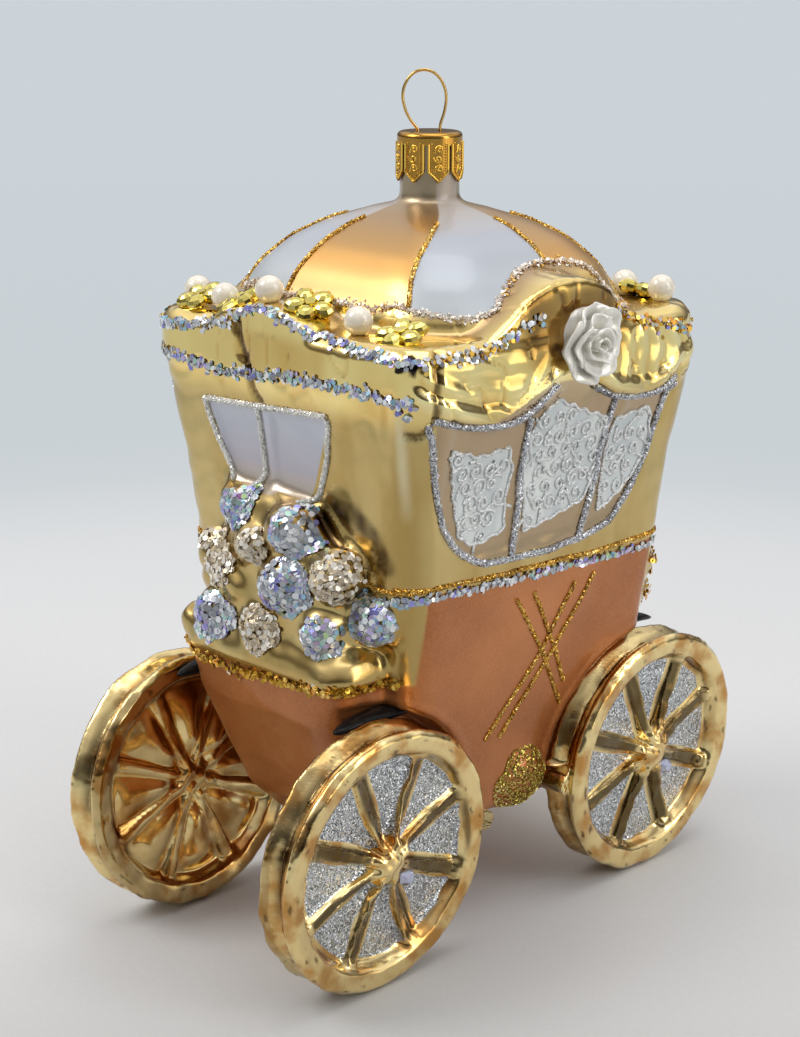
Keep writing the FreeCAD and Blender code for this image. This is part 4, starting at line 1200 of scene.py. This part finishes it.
def glueBead(name, runs, radius, material):
    lines = [[(place + normal * 0.05) * mm for place, normal in hits[::3] + hits[-1:]] for hits in runs]
    return finishPiece(tubeFrom(name, lines, radius, 1, 2.5), name, "root", material)


def sparklePaint(name, stops, roughness, scale, metallic=0.9):
    material, tree, inputs = newMaterial(name, {"Roughness": roughness, "Metallic": metallic})
    flakes = placeGroup(tree, sparkleGroup, Scale=scale, Tilt=1.2)
    feed(tree, inputs["Base Color"], ramp(tree, flakes["Shade"], stops))
    feed(tree, inputs["Normal"], flakes["Normal"])
    return material


silverStops = [(0.0, srgb(0.20, 0.19, 0.18)), (0.25, srgb(0.62, 0.62, 0.63)),
               (0.65, srgb(0.86, 0.87, 0.90)),
               (1.0, srgb(1.0, 1.0, 1.0))]
goldStops = [(0.0, srgb(0.38, 0.24, 0.08)), (0.3, srgb(0.74, 0.54, 0.20)), (0.75, srgb(0.92, 0.74, 0.34)),
             (1.0, srgb(0.99, 0.92, 0.66))]
whiteStops = [(0.0, srgb(0.74, 0.73, 0.70)), (0.35, srgb(0.92, 0.92, 0.90)), (1.0, srgb(1.0, 1.0, 0.99))]
clearStops = [(0.0, srgb(0.86, 0.82, 0.77)), (0.35, srgb(0.95, 0.93, 0.90)),
              (0.5, srgb(0.84, 0.77, 0.72)),
              (0.68, srgb(0.86, 0.68, 0.32)), (0.84, srgb(0.72, 0.52, 0.20)),
              (0.93, srgb(0.78, 0.76, 0.80))]
bossStops = [(0.0, srgb(0.55, 0.46, 0.16)), (0.4, srgb(0.80, 0.74, 0.36)), (0.75, srgb(0.94, 0.90, 0.62)),
             (1.0, srgb(0.99, 0.98, 0.90))]


def makeGlitter():
    look = glitterLook
    silverRuns, goldRuns = [], []
    for side in (1, -1):
        silverRuns += [traceSide(side, look[key], 60) for key in ("hemFront", "hemRear", "frame")]
        silverRuns += [traceSide(side, line, 40) for line in look["dividers"]]
        goldRuns.append(traceSide(side, sequinLook["waistGlitter"], 60))
        goldRuns.append(traceFront([(side * x, z) for x, z in sequinLook["glitterCorner"]], 10))
        goldRuns += [traceSide(side, line, 40) for line in look["cross"]]
    whiteRuns = [traceFront(line, 10) for line in look["frontLines"]]
    for seam in shellLook["seams"]:
        run = kept(seamHit(seam, math.radians(12 + step * 0.25)) for step in range(290))
        goldRuns.append([hit for hit in run if domeReach(hit[0]) > 0.2 and hit[1].z > 0.12])
    crumb = makeGrain("crumb", 3, 0.21, 0.06)
    for label, runs, radius, perMm, stops, roughness, metallic in (
            ("silver", silverRuns, 0.56, 26, silverStops, 0.3, 0.7),
            ("gold", goldRuns, 0.36, 17, goldStops, 0.18, 0.95),
            ("white", whiteRuns, 0.50, 28, whiteStops, 0.35, 0.1)):
        name = label + "_glitter"
        glueBead(name + "_bed", runs, radius, sparklePaint(name + "Bed", stops, 0.3, 5000.0))
        spots = [spot for run in runs for spot in glitterRun(run, perMm, radius)]
        scatter(name, crumb, spots, grainPaint(label + "Crumb", stops, roughness, metallic, "LINEAR"))
        print("stage:", name, len(spots))
    flakes, boss = [], []
    for side in (1, -1):
        foot = kept(fromAbove(side * x, y) for x, y in smoothPath(shellLook["domeFoot"], rounds=8))
        flakes += sprinkleLine(foot, 9.0, 0.8, 0.7, 1.1, 2.0, 0.5)
    scatter("clear_flakes", crumb, flakes, grainPaint("clearFlake", clearStops, 0.25, 0.35))
    x, y, z, radius = look["boss"]
    for side in (1, -1):
        place, facing = (side * x, y, z), (side * 0.94, 0, -0.25)
        boss += sprinkleDisc(place, facing, radius, look["bossCrumbs"], 0.6, 0.25, 0.7, 1.3)
    scatter("boss_glitter", crumb, boss, grainPaint("bossCrumb", bossStops, 0.2, 0.9, "LINEAR"))
    bpy.data.objects.remove(crumb)


makeGlitter()


scrollLook = {"pitch": 3.3, "radius": 1.5, "turns": 1.3, "wire": 0.31, "inset": 1.3}


def scrollLine(centre, size, start, hand):  # one spiral with a tail that swings away
    line = []
    for step in range(17):
        share = step / 16
        angle = start + hand * share * scrollLook["turns"] * 2 * math.pi
        reach = size * (0.18 + 0.82 * share ** 0.9)
        line.append((centre[0] + math.cos(angle) * reach, centre[1] + math.sin(angle) * reach))
    (y1, z1), (y2, z2) = line[-2:]
    for step in range(1, 5):
        line.append((y2 + (y2 - y1) * step * 0.8, z2 + (z2 - z1) * step * 0.8 - 0.05 * step * step))
    return line


def paneScrolls(side, polygon):  # rows of spirals and a wavy border inside one pane
    runs = []
    low, pitch = [min(axis) for axis in zip(*polygon)], scrollLook["pitch"]
    high = [max(axis) for axis in zip(*polygon)]
    row = 0
    z = low[1] + scrollLook["inset"]
    while z < high[1]:
        y = low[0] + (row % 2) * pitch / 2
        while y < high[0]:
            place = (y + random.uniform(-0.35, 0.35), z + random.uniform(-0.35, 0.35))
            room = edgeDistance(polygon, *place)
            if inside(polygon, *place) and room > 0.9:
                size = min(scrollLook["radius"] * random.uniform(0.85, 1.15), room + 0.2)
                line = scrollLine(place, size, random.uniform(0, 6.283), random.choice((-1, 1)))
                runs.append(kept(onSide(side, *spot) for spot in line))
            y += pitch
        z += pitch * 0.9
        row += 1
    waves = [(y, z, 0.22 * math.sin(index * 0.55))
             for index, (y, z) in enumerate(smoothPath(polygon + polygon[:1], 0.3, 6))]
    runs.append(kept(onSide(side, y + wave * 0.5, z + wave) for y, z, wave in waves))
    return runs


def makeScrolls():
    runs = []
    for side in (1, -1):
        for polygon in shellLook["sidePanes"]:
            runs += paneScrolls(side, polygon)
    lines = [[(place + normal * 0.08) * mm for place, normal in run] for run in runs]
    paint = sparklePaint("scrollWhite", [(0.0, srgb(0.78, 0.80, 0.80)), (0.4, srgb(0.93, 0.94, 0.94)),
                                         (1.0, srgb(1.0, 1.0, 1.0))], 0.35, 5200.0, 0.25)
    tubes = tubeFrom("pane_scrolls", lines, scrollLook["wire"], 0, 2, False)
    return finishPiece(tubes, "pane_scrolls", "root", paint)


print("stage: scrolls,", len(makeScrolls().data.polygons))


roseLook = {  # each ring of petals: how many, radius, height, flare and half width in radians
    "rings": [(3, 1.3, 4.2, 0.0, 1.35), (4, 2.6, 3.9, 0.2, 1.2), (4, 4.0, 3.3, 0.7, 1.15),
              (5, 5.3, 2.5, 1.2, 0.95)],
    "sheet": 0.42, "base": (5.4, 5.4, 2.6), "sink": 0.9, "back": 1.9, "raise": 0.3, "size": 1.12,
    "crumple": 0.9,
}


def makePetal(turn, radius, height, flare, half, wobble):
    bpy.ops.mesh.primitive_grid_add(x_subdivisions=12, y_subdivisions=9, size=2)
    petal = bpy.context.object
    for vertex in petal.data.vertices:
        across, upward = vertex.co.x, (vertex.co.y + 1) / 2
        rise = upward * (1 - 0.30 * across * across)
        angle = turn + across * half
        reach = radius * (0.55 + 0.45 * rise) + flare * rise ** 3 + 0.35 * across * wobble
        lift = height * math.sin(rise * math.pi / 2) - 0.25 * flare * rise ** 4
        lift += 0.22 * math.sin(4 * across + wobble * 3) * rise
        vertex.co = Vector((math.cos(angle) * reach, math.sin(angle) * reach, lift)) * mm
    thick = petal.modifiers.new("thick", "SOLIDIFY")
    thick.thickness = roseLook["sheet"] * mm
    thick.offset = -1
    petal.modifiers.new("smooth", "SUBSURF").levels = 1
    applyAll(petal)
    return petal


def makeRose(side, seed):
    rng = random.Random(seed)
    pieces = []
    for ring, (count, radius, height, flare, half) in enumerate(roseLook["rings"]):
        for index in range(count):
            turn = 6.283 * index / count + ring * 0.7 + rng.uniform(-0.15, 0.15)
            wobble = rng.choice((-1, 1)) * rng.uniform(0.5, 1)
            pieces.append(makePetal(turn, radius, height, flare, half, wobble))
    bpy.ops.mesh.primitive_uv_sphere_add(segments=24, ring_count=12, radius=1)
    base = bpy.context.object
    base.scale = Vector(roseLook["base"]) * mm
    settle(base)
    rose = joinInto(base, pieces)
    for vertex in rose.data.vertices:
        p = vertex.co / mm
        crumple = Vector((ripple(p, 3.2, seed), ripple(p, 3.2, seed + 1), 1.2 * ripple(p, 2.6, seed + 2)))
        vertex.co = vertex.co * roseLook["size"] + crumple * roseLook["crumple"] * mm
    rose.rotation_euler = (0, math.radians(90 * side), 0)
    lower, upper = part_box("left_rose" if side > 0 else "right_rose")
    middle = (lower + upper) / 2
    seat = lower.x - roseLook["sink"] * mm if side > 0 else upper.x + roseLook["sink"] * mm
    rose.location = (seat, middle.y - roseLook["back"] * mm, middle.z + roseLook["raise"] * mm)
    settle(rose)
    bpy.ops.object.shade_smooth()
    return rose


def rosePaint():
    material, tree, inputs = newMaterial("rosePearl", {
        "Roughness": 0.22, "Metallic": 0.15, "Coat Weight": 0.7, "Coat Roughness": 0.08})
    cloud = placeGroup(tree, mottleGroup, Scale=300.0, Low=0.35, High=0.7)["Mask"]
    # the petals turn whiter towards their edges: a painted sheen
    facing = addNode(tree, "ShaderNodeLayerWeight")
    feed(tree, facing.inputs["Blend"], 0.35)
    pearl = mixColor(tree, cloud, srgb(0.92, 0.91, 0.87), srgb(0.80, 0.79, 0.75))
    white = mixColor(tree, facing.outputs["Facing"], pearl, srgb(0.99, 0.99, 0.98))
    feed(tree, inputs["Base Color"], white)
    return material


roseMaterial = rosePaint()
for name, side, seed in (("left_rose", 1, 3), ("right_rose", -1, 4)):
    finishPiece(makeRose(side, seed), name + "_petals", "root", roseMaterial, [name])
print("stage: roses")


def looseParts(node):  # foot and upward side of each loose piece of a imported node
    copy = copyNode(node, "loose")
    selectOnly(copy)
    bpy.ops.mesh.separate(type="LOOSE")
    parts = []
    for obj in list(bpy.context.selected_objects):
        corners = [v.co for v in obj.data.vertices]
        centre = sum(corners, Vector()) / len(corners)
        under = min(obj.data.polygons, key=lambda face: face.normal.z - face.area * 1e3)
        parts.append((Vector((centre.x, centre.y, min(c.z for c in corners))) / mm, -under.normal))
        bpy.data.objects.remove(obj)
    return sorted(parts, key=lambda part: part[0].x)


beadLook = {  # moves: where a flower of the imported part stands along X, and its shift in X and Y
    "petal": 1.8, "ring": 2.5, "tall": 0.75, "heart": 1.1, "lean": 0.35, "seat": -0.6,
    "moves": {"front_flower_beads": [(-12, -1.5, 0), (3.5, -1.8, 1.0), (22.4, 0, 1.8)],
              "rear_flower_beads": [(14.2, -2.2, 0), (27, -5.2, 0.8)]},
}


def makeBeads(node, seed):
    pieces, ring = [], beadLook["ring"]
    for index, (foot, upward) in enumerate(looseParts(node)):
        for x, moveX, moveY in beadLook["moves"][node]:
            if abs(foot.x - x) < 3:
                foot = foot + Vector((moveX, moveY, 0))
                foot.z = fromAbove(foot.x, foot.y)[0].z + beadLook["seat"]
        outwards = Vector((0.15 if foot.x > 0 else -0.15, -1 if foot.y < 0 else 1, 0))
        upward = (upward + outwards * beadLook["lean"]).normalized()
        foot = foot + upward * 0.4
        turn = upward.to_track_quat("Z", "Y")
        for petal in range(5):
            angle = math.radians(90 + 72 * petal + seed + index * 11)
            off = turn @ Vector((math.cos(angle) * ring, math.sin(angle) * ring, 1.35))
            bpy.ops.mesh.primitive_uv_sphere_add(segments=9, ring_count=7, radius=beadLook["petal"] * mm)
            dome = bpy.context.object
            dome.location = (foot + off) * mm
            dome.scale = (1.1, 0.95, beadLook["tall"])
            dome.rotation_euler = (turn @ Euler((0, 0, angle)).to_quaternion()).to_euler()
            pieces.append(settle(dome))
        bpy.ops.mesh.primitive_cylinder_add(vertices=5, radius=beadLook["heart"] * mm, depth=0.5 * mm)
        heart = bpy.context.object
        heart.location = (foot + turn @ Vector((0, 0, 2.15))) * mm
        heart.rotation_euler = turn.to_euler()
        pieces.append(settle(heart))
    beads = joinInto(pieces[0], pieces[1:])
    bpy.ops.object.shade_smooth_by_angle(angle=math.radians(20))
    return beads


pearlLook = {
    "radius": 2.4, "sink": 0.25,
    "front": [(-28.5, -25.4), (-17.9, -28.4), (-6.5, -28.4), (13.3, -27.4)],
    "rear": [(-29.2, 29.6), (-14.8, 33.4), (5.5, 33.4), (18.6, 33.2), (28, 31.6)],
}


def makePearls(spots):
    pieces = []
    for x, y in spots:
        seat, normal = fromAbove(x, y)
        lean = (normal + Vector((0, 0, 1))).normalized()
        bpy.ops.mesh.primitive_uv_sphere_add(segments=40, ring_count=26, radius=pearlLook["radius"] * mm)
        pearl = bpy.context.object
        pearl.location = (seat + lean * (pearlLook["radius"] - pearlLook["sink"])) * mm
        pieces.append(settle(pearl))
    row = joinInto(pieces[0], pieces[1:])
    bpy.ops.object.shade_smooth()
    return row


def plainFinish(name, color, sockets):
    material, tree, inputs = newMaterial(name, sockets)
    cloud = placeGroup(tree, mottleGroup, Scale=500.0, Low=0.3, High=0.7)["Mask"]
    feed(tree, inputs["Base Color"], mixColor(tree, cloud, color, tuple(c * 0.86 for c in color)))
    return material


brightGold = plainFinish("brightGold", srgb(0.98, 0.80, 0.36), {"Metallic": 1.0, "Roughness": 0.13})
wireGold = plainFinish("wireGold", srgb(0.86, 0.70, 0.42), {"Metallic": 1.0, "Roughness": 0.22})
pearlWhite = plainFinish("pearlWhite", srgb(0.93, 0.90, 0.84), {"Roughness": 0.16, "Coat Weight": 0.6})
beadGold = plainFinish("beadGold", srgb(0.93, 0.86, 0.48), {"Metallic": 1.0, "Roughness": 0.1})
crystalGlow = plainFinish("crystalGlow", srgb(0.80, 0.82, 0.92), {"Metallic": 0.6, "Roughness": 0.05})
capGold = plainFinish("capGold", srgb(0.73, 0.55, 0.25), {"Metallic": 1.0, "Roughness": 0.2})
for end in ("front", "rear"):
    row = makePearls(pearlLook[end])
    finishPiece(row, end + "_pearl_row", "root", pearlWhite, [end + "_pearls"])
for beads, seed in (("front_flower_beads", 0), ("rear_flower_beads", 25)):
    finishPiece(makeBeads(beads, seed), beads + "_domes", "root", beadGold, [beads])
for node, obj in frame["nodes"].items():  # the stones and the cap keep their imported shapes
    if node.endswith("_crystal") or node == "hanger_cap":
        obj.data.materials.clear()
        obj.data.materials.append(capGold if node == "hanger_cap" else crystalGlow)
print("stage: pearls and beads")

capLook = {  # stamped relief of the crown cap
    "petals": 8, "firstDeg": 15.0, "radius": (capBox[1].x - capBox[0].x) / 2 / mm, "halfWide": 1.78,
    "tip": capBox[0].z / mm, "shoulder": capBox[0].z / mm + 1.9, "slitTop": capBox[0].z / mm + 6.6,
    "ridge": 0.23, "beads": 0.17, "vine": 0.20, "curls": ((0.6, 1), (2.2, -1), (3.8, 1)), "curl": 0.68,
}


def onCap(turn, across, z, stand=0.0):
    reach = capLook["radius"] + stand
    angle = turn + across / capLook["radius"]
    return Vector((math.cos(angle) * reach, math.sin(angle) * reach + neckY, z)) * mm


def petalOutline(margin):
    wide = capLook["halfWide"] - margin
    top, shoulder = capLook["slitTop"], capLook["shoulder"] + margin * 0.3
    tip = capLook["tip"] + 0.25 + margin * 1.25
    return [(-wide, top), (-wide, shoulder), (0, tip), (wide, shoulder), (wide, top)]


def makeCapRelief():
    ridges, vines, beads = [], [], []
    for petal in range(capLook["petals"]):
        turn = math.radians(capLook["firstDeg"] + petal * 360 / capLook["petals"])
        ridges.append([onCap(turn, a, z) for a, z in alongLine(petalOutline(0.05), 0.5)])
        beads += [onCap(turn, a, z, 0.08) for a, z in alongLine(petalOutline(0.55), 0.42)]
        for height, hand in capLook["curls"]:
            middle = (0.12 * hand, capLook["shoulder"] + height)
            curl = scrollLine(middle, capLook["curl"], 1.2 * hand, hand)
            vines.append([onCap(turn, a, z) for a, z in curl[:-2]])
    relief = tubeFrom("cap_relief", ridges, capLook["ridge"])
    parts = [tubeFrom("vines", vines, capLook["vine"])]
    for place in beads:
        size = capLook["beads"] * mm
        bpy.ops.mesh.primitive_ico_sphere_add(subdivisions=1, radius=size, location=place)
        parts.append(bpy.context.object)
    return joinInto(relief, parts)


relief = makeCapRelief()
finishPiece(relief, "cap_relief", "cap", brightGold)
print("stage: cap relief,", len(relief.data.polygons))


loopLook = {  # the wire in its own plane: across from the neck's middle, height over the cap
    "turn": 45.0, "wire": 0.26,
    "line": [(-3.5, -17.1), (-3.5, -12.9), (-1.75, -5), (-1.75, -0.6), (-1.95, 0.2), (-3.1, 1.4),
             (-4.1, 3.1), (-4.7, 5.4), (-4.5, 7.2), (-3.7, 8.8), (-2.5, 9.9), (-1.1, 10.2), (0.4, 9.9),
             (1.75, 8.7), (2.6, 6.9), (2.8, 5.2), (2.45, 3), (1.8, 1.3), (1.65, 0.3), (1.75, -0.6),
             (1.75, -5), (3.5, -12.9), (3.5, -17.1)],
}


def makeLoop():
    turn, top = math.radians(loopLook["turn"]), capBox[1].z / mm
    line = []
    for across, height in smoothPath(loopLook["line"], rounds=10):
        line.append(Vector((across * math.cos(turn), neckY + across * math.sin(turn), top + height)) * mm)
    return tubeFrom("hanger_loop", [line], loopLook["wire"], 3)


finishPiece(makeLoop(), "hanger_loop", "wire", wireGold, ["hanger_wire"])
print("stage: loop")
